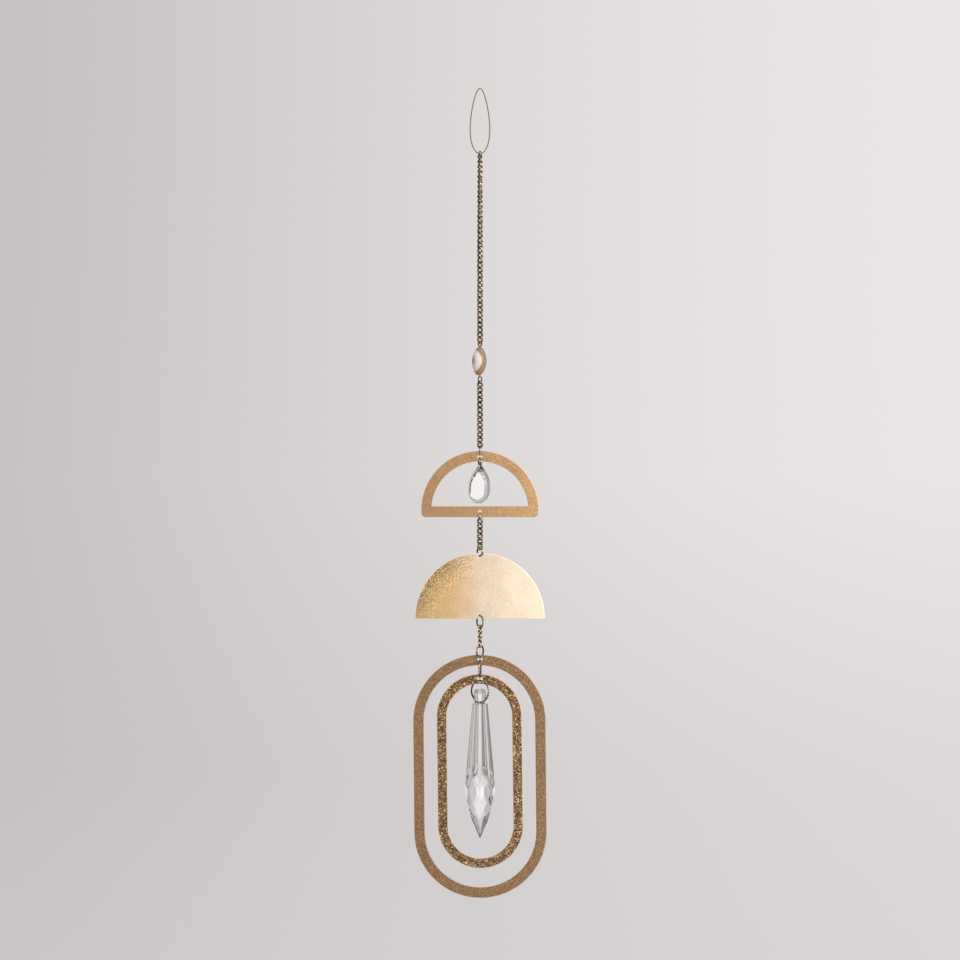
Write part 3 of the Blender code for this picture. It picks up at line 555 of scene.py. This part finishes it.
def brushed_brass(name, shade, cell, tilt, roughness, pits, depth, bow, lean=0.0, arch=None):
    """Scratched sheet: the normal leans this way and that by noise, and thin creases are painted dark, as
    patina and as painted shade.

    The cell is the size of the scratches, tilt how far they lean, pits how wide the creases are and depth
    how dark. The whole sheet leans and is bowed a little to the right. The edge walls are lightened in colour
    as a painted highlight. With an arch, given by the height of its middle, the left side is painted darker
    and more golden as painted shade, against the paler lit right, and it is rougher, most of all along the
    rim.
    """
    finish = Finish(name)
    place = finish.place()
    cells = finish.add("TexNoise", Vector=place, Scale=0.8 / cell, Detail=3.0, Distortion=0.6)
    cells = cells.outputs["Color"]
    crease = finish.add("TexNoise", Vector=place, Scale=0.55 / cell, Detail=2.0, Distortion=1.2)
    crease = crease.outputs["Fac"]
    crease = finish.maths("MULTIPLY", finish.maths("ABSOLUTE", finish.maths("SUBTRACT", crease, 0.5)), 8.0)
    mottle = finish.noise(3.2 * cell, 3.0)
    broad = finish.noise(0.011, 2.0)
    dark, light = tuple(c * 0.84 for c in shade), tuple(min(1.0, c * 1.08) for c in shade)
    colour = finish.blend(finish.ramp(broad, 0.3, 0.7), dark, shade)
    colour = finish.blend(finish.ramp(mottle, 0.35, 0.7, 0.0, 0.3 if arch else 1.0), colour, light)
    crease_patina_and_painted_shade = finish.ramp(crease, 0.6 * pits, 1.5 * pits, depth, 0.0)
    if arch:
        across, _, up = finish.add("SeparateXYZ", Vector=place).outputs
        far = finish.distance(place, (0.0, 0.0, arch))
        left = finish.ramp(finish.maths("ADD", across, finish.maths("MULTIPLY", broad, 0.012)), 0.008, -0.010)
        rimward = finish.ramp(far, 0.020, 0.0345)
        worked = finish.maths("MULTIPLY", finish.maths("MULTIPLY", rimward, left),
                              finish.ramp(up, arch - 0.004, arch + 0.012, 0.45, 1.0))
        tilt = finish.maths("ADD", tilt, finish.maths("MULTIPLY", worked, 1.7))
        crease_patina_and_painted_shade = finish.maths("MULTIPLY", crease_patina_and_painted_shade, finish.ramp(worked, 0.25, 0.85))
        # Painted shade: the left side takes a darker, more golden copy of the colour; the right keeps the
        # pale, lit one.
        colour = finish.blend(left, colour, tuple(c * k for c, k in zip(shade, (0.97, 0.78, 0.50))))
    # Dark creases, painted in as patina and as painted shade of the crinkles.
    colour = finish.blend(crease_patina_and_painted_shade, colour, tuple(c * k for c, k in zip(shade, (0.20, 0.17, 0.10))))
    rim = finish.add("Attribute", {"attribute_name": "rim"}).outputs["Fac"]
    # Painted highlight: the edge walls are lightened in colour, besides being smoother.
    colour = finish.blend(rim, colour, tuple(min(1.0, c * 1.1) for c in shade))
    own = finish.vector("MULTIPLY", finish.vector("SUBTRACT", cells, 0.5), tilt)
    own = finish.vector("MULTIPLY", own, finish.ramp(rim, 0.0, 1.0, 1.0, 0.25))
    square = finish.add("NewGeometry").outputs["Normal"]
    bowed = finish.vector("MULTIPLY_ADD", place, (bow, 0.0, 0.0), (lean, 0.0, 0.0))
    leaned = finish.vector("ADD", square, bowed)
    faced = finish.vector("NORMALIZE", finish.vector("ADD", leaned, own))
    finish.dress(
        Base_Color=colour,
        Metallic=1.0,
        Roughness=finish.ramp(rim, 0.0, 1.0, roughness, 0.3),
        Coat_Weight=0.5,
        Coat_Roughness=0.25,
        Normal=faced,
    )
    return finish.material


hang("brass_half_moon_frame", half_moon_frame(),
     brushed_brass("brushed_brass_frame", shade=(0.60, 0.36, 0.179), cell=0.00036, tilt=0.7,
                   roughness=0.42, pits=0.12, depth=0.5, bow=3.4),
     "half_moon_frame")


# The solid half moon: the same sheet, burnished afterwards and smoother, with a pale cream colour as painted
# light that is painted darker and golden on the left as painted shade.

def half_moon_plate():
    """An arch on a straight foot with a small hole near the top and another above the foot."""
    low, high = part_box("half_moon_plate")
    radius = (high.x - low.x) / 2.0
    centre = high.z - radius
    corner, arch_hole, foot_hole, hole_radius = 0.0005, 0.0022, 0.0024, 0.00115
    outer = rounded_foot(centre, radius, low.z, corner, 200)
    holes = [hole((0.0, high.z - arch_hole), hole_radius), hole((0.0, low.z + foot_hole), hole_radius)]
    return sheet("brass_half_moon_plate", [outer], holes, low.y, high.y)


hang("brass_half_moon_plate", half_moon_plate(),
     brushed_brass("burnished_brass_plate_painted_light_and_shade", shade=(0.93, 0.765, 0.575), cell=0.00042, tilt=0.16,
                   roughness=0.30, pits=0.55, depth=0.95, bow=2.45, lean=0.055, arch=-0.2805),
     "half_moon_plate")


# The two ovals: bands of the same sheet with half round ends, each hung from a hole a hair beside its
# axis, so that it leans a little. The large one is brushed.

def oval_outline(top, length, half_width, side, lean, steps):
    """Two half circles and straight sides between them, leaned about the hole in its own plane."""
    upper = arc((side, top - half_width), half_width, 0.0, pi, steps)
    lower = arc((side, top - length + half_width), half_width, pi, 2.0 * pi, steps)
    flat = np.vstack([upper, lower])
    x = flat[:, 0] * cos(lean) - flat[:, 1] * sin(lean)
    z = flat[:, 0] * sin(lean) + flat[:, 1] * cos(lean)
    return np.column_stack([x, z])


def oval_band(node, name, band, inset, hole_side, hole_radius, steps):
    """The outer and inner outlines about the hole, and the hole."""
    low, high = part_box(node)
    length = high.z - low.z
    lean = asin(hole_side / (length / 2.0 - inset))
    half_width = ((high.x - low.x) / 2.0 - length / 2.0 * sin(lean)) / (1.0 - sin(lean))
    outer = oval_outline(inset, length, half_width, -hole_side, lean, steps)
    opening = oval_outline(inset - band, length - 2.0 * band, half_width - band, -hole_side, lean, steps)
    at = np.array([0.0, high.z - inset])
    return sheet(name, [outer + at, opening[::-1] + at], [hole(at, hole_radius)], low.y, high.y)


hang("brass_large_oval",
     oval_band("large_oval", "brass_large_oval", band=0.0055, inset=0.0022, hole_side=0.0006,
               hole_radius=0.0014, steps=120),
     brushed_brass("brushed_brass_large_oval", shade=(0.385, 0.227, 0.117), cell=0.00042, tilt=1.3,
                   roughness=0.40, pits=0.24, depth=0.75, bow=0.6),
     "large_oval")


# The small oval is hammered all over with a coarse punch, which leaves it crinkled and glittering.

hang("brass_small_oval",
     oval_band("small_oval", "brass_small_oval", band=0.0051, inset=0.0025, hole_side=0.0006,
               hole_radius=0.00158, steps=120),
     brushed_brass("hammered_brass_small_oval", shade=(0.56, 0.365, 0.20), cell=0.00072, tilt=4.0,
                   roughness=0.21, pits=0.75, depth=0.95, bow=1.8),
     "small_oval")


# The pear crystal: clear lead glass, cut flat by flat round a large smooth table on either side and bored
# near its point for a ring.

def saw(work, point, normal, clear=False):
    """Cuts the glass along a plane, clears what is beyond it if asked, and gives the edges of the cut."""
    geometry = work.verts[:] + work.edges[:] + work.faces[:]
    cut = bmesh.ops.bisect_plane(work, geom=geometry, dist=1e-7, plane_co=point, plane_no=normal,
                                 clear_outer=clear)
    return [part for part in cut["geom_cut"] if isinstance(part, bmesh.types.BMEdge)]


def cut_flat(work, point, normal):
    """Grinds everything beyond a plane away and closes the flat that is left."""
    rim = saw(work, point, normal, clear=True)
    if rim:
        bmesh.ops.contextual_create(work, geom=rim)


def glass_blank(half_width, half_depth, bottom, top):
    """A block of glass round the Z axis, to be cut down."""
    work = bmesh.new()
    size = Matrix.Diagonal((2.0 * half_width, 2.0 * half_depth, top - bottom, 1.0))
    bmesh.ops.create_cube(work, size=1.0, matrix=Matrix.Translation((0.0, 0.0, (top + bottom) / 2.0)) @ size)
    return work


def glass_mesh(name, work, placing):
    """The cut block as a mesh at its place, its loose ends welded."""
    bmesh.ops.remove_doubles(work, verts=work.verts, dist=2e-6)
    bmesh.ops.recalc_face_normals(work, faces=work.faces)
    work.transform(placing)
    mesh = bpy.data.meshes.new(name)
    work.to_mesh(mesh)
    work.free()
    return mesh


def joined(name, mesh, other, operation):
    """The two meshes united, or the first with the second cut away."""
    first, second = bpy.data.objects.new(name, mesh), bpy.data.objects.new(name + "_tool", other)
    for item in (first, second):
        bpy.context.scene.collection.objects.link(item)
    step = first.modifiers.new("join", "BOOLEAN")
    step.operation, step.solver, step.object = operation, "EXACT", second
    bpy.context.view_layer.update()
    made = bpy.data.meshes.new_from_object(first.evaluated_get(bpy.context.evaluated_depsgraph_get()))
    bpy.data.objects.remove(first)
    bpy.data.objects.remove(second)
    made.name = name
    return made


def drill_rod(radius, half_length, middle, turn):
    """A level rod through a point, its direction turned by degrees from +X."""
    work = bmesh.new()
    placing = (Matrix.Translation(middle) @ Matrix.Rotation(radians(turn), 4, "Z")
               @ Matrix.Rotation(pi / 2, 4, "Y"))
    bmesh.ops.create_cone(work, cap_ends=True, segments=24, radius1=radius, radius2=radius,
                          depth=2.0 * half_length, matrix=placing)
    mesh = bpy.data.meshes.new("drill_rod")
    work.to_mesh(mesh)
    work.free()
    return mesh


# Half width and height of the pear's side in millimetres, from its foot up.
PEAR_SIDE = ((1.35, 0.0), (3.4, 1.1), (5.0, 2.7), (5.95, 4.8), (6.15, 7.5), (5.95, 10.6), (5.15, 13.7),
             (3.9, 16.2), (2.5, 18.3), (1.3, 20.0))
PEAR_HEIGHT = 0.020
PEAR_FOOT_UP = 0.0006
PEAR_BORE_DOWN = 0.0025
PEAR_GIRDLE = 0.0006
PEAR_TABLE = 0.0031
PEAR_TIER = 0.0007
PEAR_CROWN, PEAR_BREAK, PEAR_UPPER_CROWN = radians(60.0), radians(69.0), radians(46.0)
PEAR_LEAN = radians(2.5)
PEAR_TURN = radians(-22.0)


def pear_crystal():
    """A block cut down along each side of the pear outline, with flats from the rim to a table on each face.

    The front has a second, flatter row of flats inside the first.
    """
    low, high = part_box("crystal_drop")
    rise = (high.z - low.z - PEAR_FOOT_UP) / PEAR_HEIGHT
    right = np.array(PEAR_SIDE) * 0.001 * (1.0, rise)
    outline = np.vstack([right, right[::-1] * (-1.0, 1.0)])
    work = glass_blank(half_width=0.0066, half_depth=PEAR_TABLE, bottom=-0.001, top=0.022)
    count = len(outline)
    for k in range(count):
        first, second = outline[k], outline[(k + 1) % count]
        run = (second - first) / np.linalg.norm(second - first)
        out = Vector((run[1], 0.0, -run[0]))
        middle = (first + second) / 2.0
        cut_flat(work, (middle[0], 0.0, middle[1]), out)
        after = outline[(k + 2) % count] - second
        after = after / np.linalg.norm(after)
        between = Vector((run[1] + after[1], 0.0, -run[0] - after[0])).normalized()
        for side in (-1.0, 1.0):
            for slope, at, way in ((PEAR_CROWN, middle, out), (PEAR_BREAK, second, between)):
                cut_flat(work, (at[0], side * PEAR_GIRDLE, at[1]),
                         way * sin(slope) + Vector((0.0, side * cos(slope), 0.0)))
        tier = middle - PEAR_TIER * np.array([out.x, out.z])
        depth = PEAR_GIRDLE + PEAR_TIER * tan(PEAR_CROWN)
        cut_flat(work, (tier[0], -depth, tier[1]),
                 out * sin(PEAR_UPPER_CROWN) - Vector((0.0, cos(PEAR_UPPER_CROWN), 0.0)))
    bore = high.z - PEAR_BORE_DOWN
    placing = (Matrix.Translation((0.0, 0.0, bore)) @ Matrix.Rotation(PEAR_TURN, 4, "Z")
               @ Matrix.Rotation(PEAR_LEAN, 4, "Y")
               @ Matrix.Translation((0.0, 0.0, low.z + PEAR_FOOT_UP - bore)))
    mesh = glass_mesh("crystal_pear", work, placing)
    rod = drill_rod(radius=0.00062, half_length=0.005, middle=(0.0, 0.0, bore), turn=162.0)
    mesh = joined("crystal_pear", mesh, rod, "DIFFERENCE")
    mesh.shade_flat()
    return mesh


def clear_crystal(name):
    """Lead glass: hardly any colour, no haze, and faces that a polishing wheel has left a little wavy.

    Gives the finish and its tint.
    """
    finish = Finish(name)
    tint = finish.blend(finish.noise(0.012, 1.0), (0.955, 0.955, 0.955), (0.985, 0.985, 0.98))
    finish.dress(
        Base_Color=tint,
        Roughness=0.0,
        IOR=1.52,
        Transmission_Weight=1.0,
        Normal=finish.relief(finish.noise(0.0045, 0.0), 0.00008, 1.0),
    )
    return finish, tint


hang("crystal_pear", pear_crystal(), clear_crystal("clear_crystal_pear")[0].material, "crystal_drop")


# The icicle crystal: the same glass, with eight long hollow flutes that widen downwards, two rows of
# lozenges and a pointed end below them, and a small head for the ring above.

ICICLE_SIDES = 8
ICICLE_TURN = radians(-92.4)
ICICLE_SHOULDER = 0.0718
ICICLE_SHOULDER_RADIUS = 0.0040
ICICLE_GIRDLE_RADIUS = 0.00795
FLUTE_EDGE, FLUTE_TIP = 0.0337, 0.0268
UPPER_LOZENGES, LOWER_LOZENGES = 0.0241, 0.0167
FLUTE_HOLLOW = 0.0009
FLUTE_FALL = (ICICLE_GIRDLE_RADIUS - ICICLE_SHOULDER_RADIUS) / (ICICLE_SHOULDER - FLUTE_TIP)
FLUTE_SLICES = 24


def cut_row(work, first_angle, upper, lower):
    """Grinds a row of equal flats round the Z axis, each through two (radius, height) points."""
    run = Vector((lower[0] - upper[0], lower[1] - upper[1]))
    outward = Vector((-run.y, run.x)).normalized()
    if outward.x < 0.0:
        outward = -outward
    for i in range(ICICLE_SIDES):
        a = first_angle + 2.0 * pi * i / ICICLE_SIDES
        cut_flat(work, (upper[0] * cos(a), upper[0] * sin(a), upper[1]),
                 (outward.x * cos(a), outward.x * sin(a), outward.y))


def slice_flutes(work):
    """Cuts the body lengthwise and across without removing anything, so that the flutes can be hollowed.

    The cuts across lie 3 mm apart by the flutes' tips and 6 mm apart above.
    """
    for k in range(FLUTE_SLICES):
        a = pi * k / FLUTE_SLICES + pi / (2 * FLUTE_SLICES)
        saw(work, (0.0, 0.0, 0.0), (-sin(a), cos(a), 0.0))
    for k in range(10):
        height = FLUTE_TIP + (0.002 + 0.003 * k if k < 6 else 0.017 + 0.006 * (k - 5))
        saw(work, (0.0, 0.0, height), (0.0, 0.0, 1.0))


def press_flutes(mesh):
    """Presses each flute in towards the axis by hollow (1 - s^2), s from its middle to its edge.

    The hollow narrows with the flute and fades out above the flute's tip. Only points on the flutes move.
    """
    points = np.empty(3 * len(mesh.vertices), dtype=np.float32)
    mesh.vertices.foreach_get("co", points)
    x, y, z = points.reshape(-1, 3).T
    step = 2.0 * pi / ICICLE_SIDES
    angle = np.arctan2(y, x)
    middle = np.round(angle / step) * step
    flat = ICICLE_GIRDLE_RADIUS - FLUTE_FALL * (z - FLUTE_TIP)
    on_flute = (z > FLUTE_TIP + 0.0005) & (np.abs(x * np.cos(middle) + y * np.sin(middle) - flat) < 2e-5)
    s = 2.0 * np.abs(angle - middle) / step
    fade = np.clip(((z - FLUTE_TIP - 0.0005) / (FLUTE_EDGE - FLUTE_TIP) - s) / 1.2, 0.0, 1.0)
    press = on_flute * FLUTE_HOLLOW * flat / ICICLE_GIRDLE_RADIUS * (1.0 - s * s) * fade
    moved = np.column_stack([x - press * np.cos(middle), y - press * np.sin(middle), z])
    mesh.vertices.foreach_set("co", moved.astype(np.float32).ravel())
    mesh.update()


def icicle_crystal():
    """The fluted body cut from a block, its head united with it, and the bore."""
    low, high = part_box("icicle_crystal")
    half_step = cos(pi / ICICLE_SIDES)
    edge = (ICICLE_GIRDLE_RADIUS - FLUTE_FALL * (FLUTE_EDGE - FLUTE_TIP)) / half_step
    tip = ICICLE_GIRDLE_RADIUS * half_step
    slope = (edge - tip) / (FLUTE_EDGE - FLUTE_TIP)
    upper = (tip - slope * (FLUTE_TIP - UPPER_LOZENGES)) / half_step
    lower = tip - slope * (FLUTE_TIP - LOWER_LOZENGES)
    work = glass_blank(half_width=0.0095, half_depth=0.0095, bottom=-0.008, top=ICICLE_SHOULDER)
    half = pi / ICICLE_SIDES
    cut_row(work, 0.0, (ICICLE_SHOULDER_RADIUS, ICICLE_SHOULDER), (ICICLE_GIRDLE_RADIUS, FLUTE_TIP))
    cut_row(work, half, (edge, FLUTE_EDGE), (tip, FLUTE_TIP))
    cut_row(work, 0.0, (upper, UPPER_LOZENGES), (lower * half_step, LOWER_LOZENGES))
    cut_row(work, half, (lower, LOWER_LOZENGES), (0.0, 0.0))
    slice_flutes(work)
    mesh = glass_mesh("crystal_icicle", work, Matrix.Identity(4))
    press_flutes(mesh)
    placing = Matrix.Translation((0.0, 0.0, low.z)) @ Matrix.Rotation(ICICLE_TURN, 4, "Z")
    mesh.transform(placing)
    top = high.z - low.z
    head = glass_blank(half_width=0.0045, half_depth=0.0045, bottom=ICICLE_SHOULDER - 0.0015, top=top)
    foot, waist = (0.0024, ICICLE_SHOULDER - 0.0004), (0.0031, ICICLE_SHOULDER + 0.0022)
    rim, crest = (0.0033, top - 0.0030), (0.0024, top)
    cut_row(head, 0.0, waist, foot)
    cut_row(head, 0.0, rim, waist)
    cut_row(head, 0.0, crest, rim)
    mesh = joined("crystal_icicle", mesh, glass_mesh("icicle_head", head, placing), "UNION")
    bore = low.z + ICICLE_SHOULDER + 0.0009
    rod = drill_rod(radius=0.00058, half_length=0.006, middle=(0.0, 0.0, bore), turn=53.0)
    mesh = joined("crystal_icicle", mesh, rod, "DIFFERENCE")
    mesh.shade_smooth()
    mesh.set_sharp_from_angle(angle=radians(14.0))
    return mesh


def edge_bevels_and_painted_shade():
    """The same glass, painted grey towards the flutes' edges and dark along them, as painted shade."""
    finish, tint = clear_crystal("clear_crystal_icicle")
    x, y, z = finish.add("SeparateXYZ", Vector=finish.place()).outputs
    flute = finish.maths("DIVIDE", finish.maths("SUBTRACT", finish.maths("ARCTAN2", y, x), ICICLE_TURN),
                         2.0 * pi / ICICLE_SIDES)
    aside = finish.maths("PINGPONG", flute, 0.5)
    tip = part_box("icicle_crystal")[0].z + FLUTE_TIP
    fluted = finish.ramp(z, tip + 0.003, tip + 0.009)
    # Painted shade: a grey band towards each flute's edge and a dark line along it, for the dark lines seen
    # there.
    soft = finish.maths("MULTIPLY", finish.ramp(aside, 0.12, 0.46, 0.0, 0.45), fluted)
    line = finish.maths("MULTIPLY", finish.ramp(aside, 0.41, 0.475), fluted)
    tint = finish.blend(soft, tint, (0.62, 0.60, 0.60))
    finish.dress(Base_Color=finish.blend(line, tint, (0.16, 0.145, 0.14)))
    return finish.material


icicle = hang("crystal_icicle", icicle_crystal(), edge_bevels_and_painted_shade(), "icicle_crystal")
edges = icicle.modifiers.new("edge_bevels_and_painted_shade", "BEVEL")
edges.width = 0.00013
edges.segments = 1
edges.limit_method = "ANGLE"
edges.angle_limit = radians(16.0)


# The studio: a pale round floor that sweeps up into an upright backdrop all round, a window light from the
# right, a weaker one from the left and a soft sky.

def studio_sweep():
    """A profile turned about the hanging line: flat floor, quarter round, upright backdrop. It glows by
    itself, darker to the left and downwards as painted light.
    """
    floor, reach, cove, backdrop_top = -0.62, 2.4, 1.2, 4.0
    q = np.linspace(-pi / 2, 0.0, 24)
    radius = np.concatenate([[0.001, reach * 0.5], reach + cove * np.cos(q), [reach + cove]])
    height = np.concatenate([[floor, floor], floor + cove + cove * np.sin(q), [backdrop_top]])
    a = 2.0 * pi * np.arange(96) / 96
    x = radius[None, :] * np.cos(a)[:, None]
    y = radius[None, :] * np.sin(a)[:, None]
    z = np.broadcast_to(height, x.shape)
    points = np.stack([x, y, z], axis=-1)
    along, count = points.shape[:2]
    i, j = np.meshgrid(np.arange(along), np.arange(count - 1), indexing="ij")
    after = (i + 1) % along
    faces = np.stack([i * count + j, after * count + j, after * count + j + 1, i * count + j + 1], axis=-1)
    mesh = bpy.data.meshes.new("studio_floor")
    mesh.from_pydata(points.reshape(-1, 3).tolist(), [], faces.reshape(-1, 4).tolist())
    mesh.shade_smooth()
    sweep = bpy.data.objects.new("studio_floor", mesh)
    bpy.context.scene.collection.objects.link(sweep)
    paint = Finish("studio_glow_painted_light")
    x, _, z = paint.add("SeparateXYZ", Vector=paint.place()).outputs
    # Painted light: the backdrop glows, falling off to the left and downwards.
    painted_light_falloff = paint.maths("MULTIPLY", paint.ramp(x, -1.4, 0.9, kind="SMOOTHSTEP"),
                       paint.ramp(z, -0.7, -0.2, 0.62, 1.0))
    paint.dress(
        Base_Color=(0.02, 0.02, 0.02),
        Roughness=1.0,
        Specular_IOR_Level=0.0,
        Emission_Color=paint.blend(painted_light_falloff, (0.50, 0.473, 0.469), (0.81, 0.778, 0.775)),
        Emission_Strength=1.0,
    )
    mesh.materials.append(paint.material)
    sweep.visible_glossy = False
    sweep.visible_transmission = False
    sweep.visible_shadow = False
    sweep.visible_diffuse = False


def studio_sky():
    """The light that comes from all round: pale behind, darker past the camera, with soft bright spots.

    A spot's strength rises from nothing to its full value as the direction nears the spot's own.
    """
    world = bpy.data.worlds.new("studio_sky")
    bpy.context.scene.world = world
    world.use_nodes = True
    tree = world.node_tree
    tree.nodes.clear()
    out = tree.nodes.new("ShaderNodeOutputWorld")
    sky = tree.nodes.new("ShaderNodeBackground")
    tree.links.new(sky.outputs[0], out.inputs[0])
    way = tree.nodes.new("ShaderNodeTexCoord")
    split = tree.nodes.new("ShaderNodeSeparateXYZ")
    tree.links.new(way.outputs["Generated"], split.inputs[0])

    def maths(operation, *values):
        node = tree.nodes.new("ShaderNodeMath")
        node.operation = operation
        for socket, value in zip(node.inputs, values):
            if isinstance(value, bpy.types.NodeSocket):
                tree.links.new(value, socket)
            else:
                socket.default_value = value
        return node.outputs[0]

    def ramp(value, low, high, to_low, to_high, kind="SMOOTHSTEP"):
        node = tree.nodes.new("ShaderNodeMapRange")
        node.interpolation_type = kind
        tree.links.new(value, node.inputs["Value"])
        for key, number in (("From Min", low), ("From Max", high), ("To Min", to_low), ("To Max", to_high)):
            node.inputs[key].default_value = number
        return node.outputs["Result"]

    x, y, z = split.outputs

    def glow(toward, low, high, strength):
        aim = Vector(toward).normalized()
        reach = maths("ADD", maths("ADD", maths("MULTIPLY", x, aim.x), maths("MULTIPLY", y, aim.y)),
                      maths("MULTIPLY", z, aim.z))
        return ramp(reach, low, high, 0.0, strength)

    aside = maths("SQRT", maths("SUBTRACT", 1.0, maths("MULTIPLY", y, y)))
    behind = maths("MULTIPLY", ramp(aside, 0.0, 0.68, 0.60, 0.0, "LINEAR"), ramp(y, -0.05, 0.05, 0.0, 1.0))
    total = maths("ADD", behind, 0.35)
    total = maths("ADD", total, maths("MULTIPLY", ramp(y, 0.0, 0.5, 0.0, 0.09), x))
    total = maths("ADD", total, glow((-1.0, -0.40, -0.15), 0.84, 0.97, -0.30))
    # The window is at less than half its strength where the glass shows it straight through.
    through = tree.nodes.new("ShaderNodeLightPath").outputs["Is Transmission Ray"]
    total = maths("ADD", total, maths("MULTIPLY", glow((0.78, -0.60, 0.20), 0.45, 0.98, 1.4),
                                      maths("SUBTRACT", 1.0, maths("MULTIPLY", through, 0.55))))
    for toward, low, high, strength in (
            ((-0.75, -0.60, 0.30), 0.60, 0.98, 0.6),
            ((0.0, -0.3, 1.0), 0.55, 0.98, 0.5),
            ((1.0, 0.35, 0.0), 0.70, 1.0, 0.12),
            ((0.0, -0.6, -0.8), 0.66, 0.98, 0.4)):
        total = maths("ADD", total, glow(toward, low, high, strength))
    tree.links.new(total, sky.inputs["Strength"])
    sky.inputs["Color"].default_value = (1.0, 0.975, 0.965, 1.0)


def window_light(name, place, width, height, power, colour):
    """A rectangular soft light that looks at the object's middle and isn't seen itself."""
    data = bpy.data.lights.new(name, "AREA")
    data.shape = "RECTANGLE"
    data.size, data.size_y = width, height
    data.energy = power
    data.color = colour
    light = bpy.data.objects.new(name, data)
    bpy.context.scene.collection.objects.link(light)
    light.location = place
    aim = Vector((0.0, 0.0, -0.22)) - Vector(place)
    light.rotation_euler = aim.to_track_quat("-Z", "Y").to_euler()
    light.visible_camera = False
    light.visible_transmission = False


studio_sweep()
studio_sky()
window_light("window_right", place=(1.3, -1.1, 0.35), width=0.5, height=0.9, power=5.0,
             colour=(1.0, 0.98, 0.96))
window_light("window_left", place=(-1.5, -0.9, 0.5), width=0.4, height=0.7, power=1.5,
             colour=(0.97, 0.98, 1.0))


# The camera: straight in front at the height of the picture's middle. One pixel of the 960 across is
# 0.53 mm at the object, which hangs from the row of pixels given here.

PIXEL = 0.00053
PICTURE_SIDE = 960
HANG_ROW = 89
CAMERA_DISTANCE = 1.5

camera_data = bpy.data.cameras.new("camera")
camera_data.sensor_width = 36.0
camera_data.lens = camera_data.sensor_width * CAMERA_DISTANCE / (PICTURE_SIDE * PIXEL)
camera = bpy.data.objects.new("camera", camera_data)
bpy.context.scene.collection.objects.link(camera)
camera.location = (0.0, -CAMERA_DISTANCE, -(PICTURE_SIDE / 2 - HANG_ROW) * PIXEL)
camera.rotation_euler = (pi / 2, 0.0, 0.0)
bpy.context.scene.camera = camera

view = bpy.context.scene.view_settings
view.view_transform = "Standard"
view.look = "None"
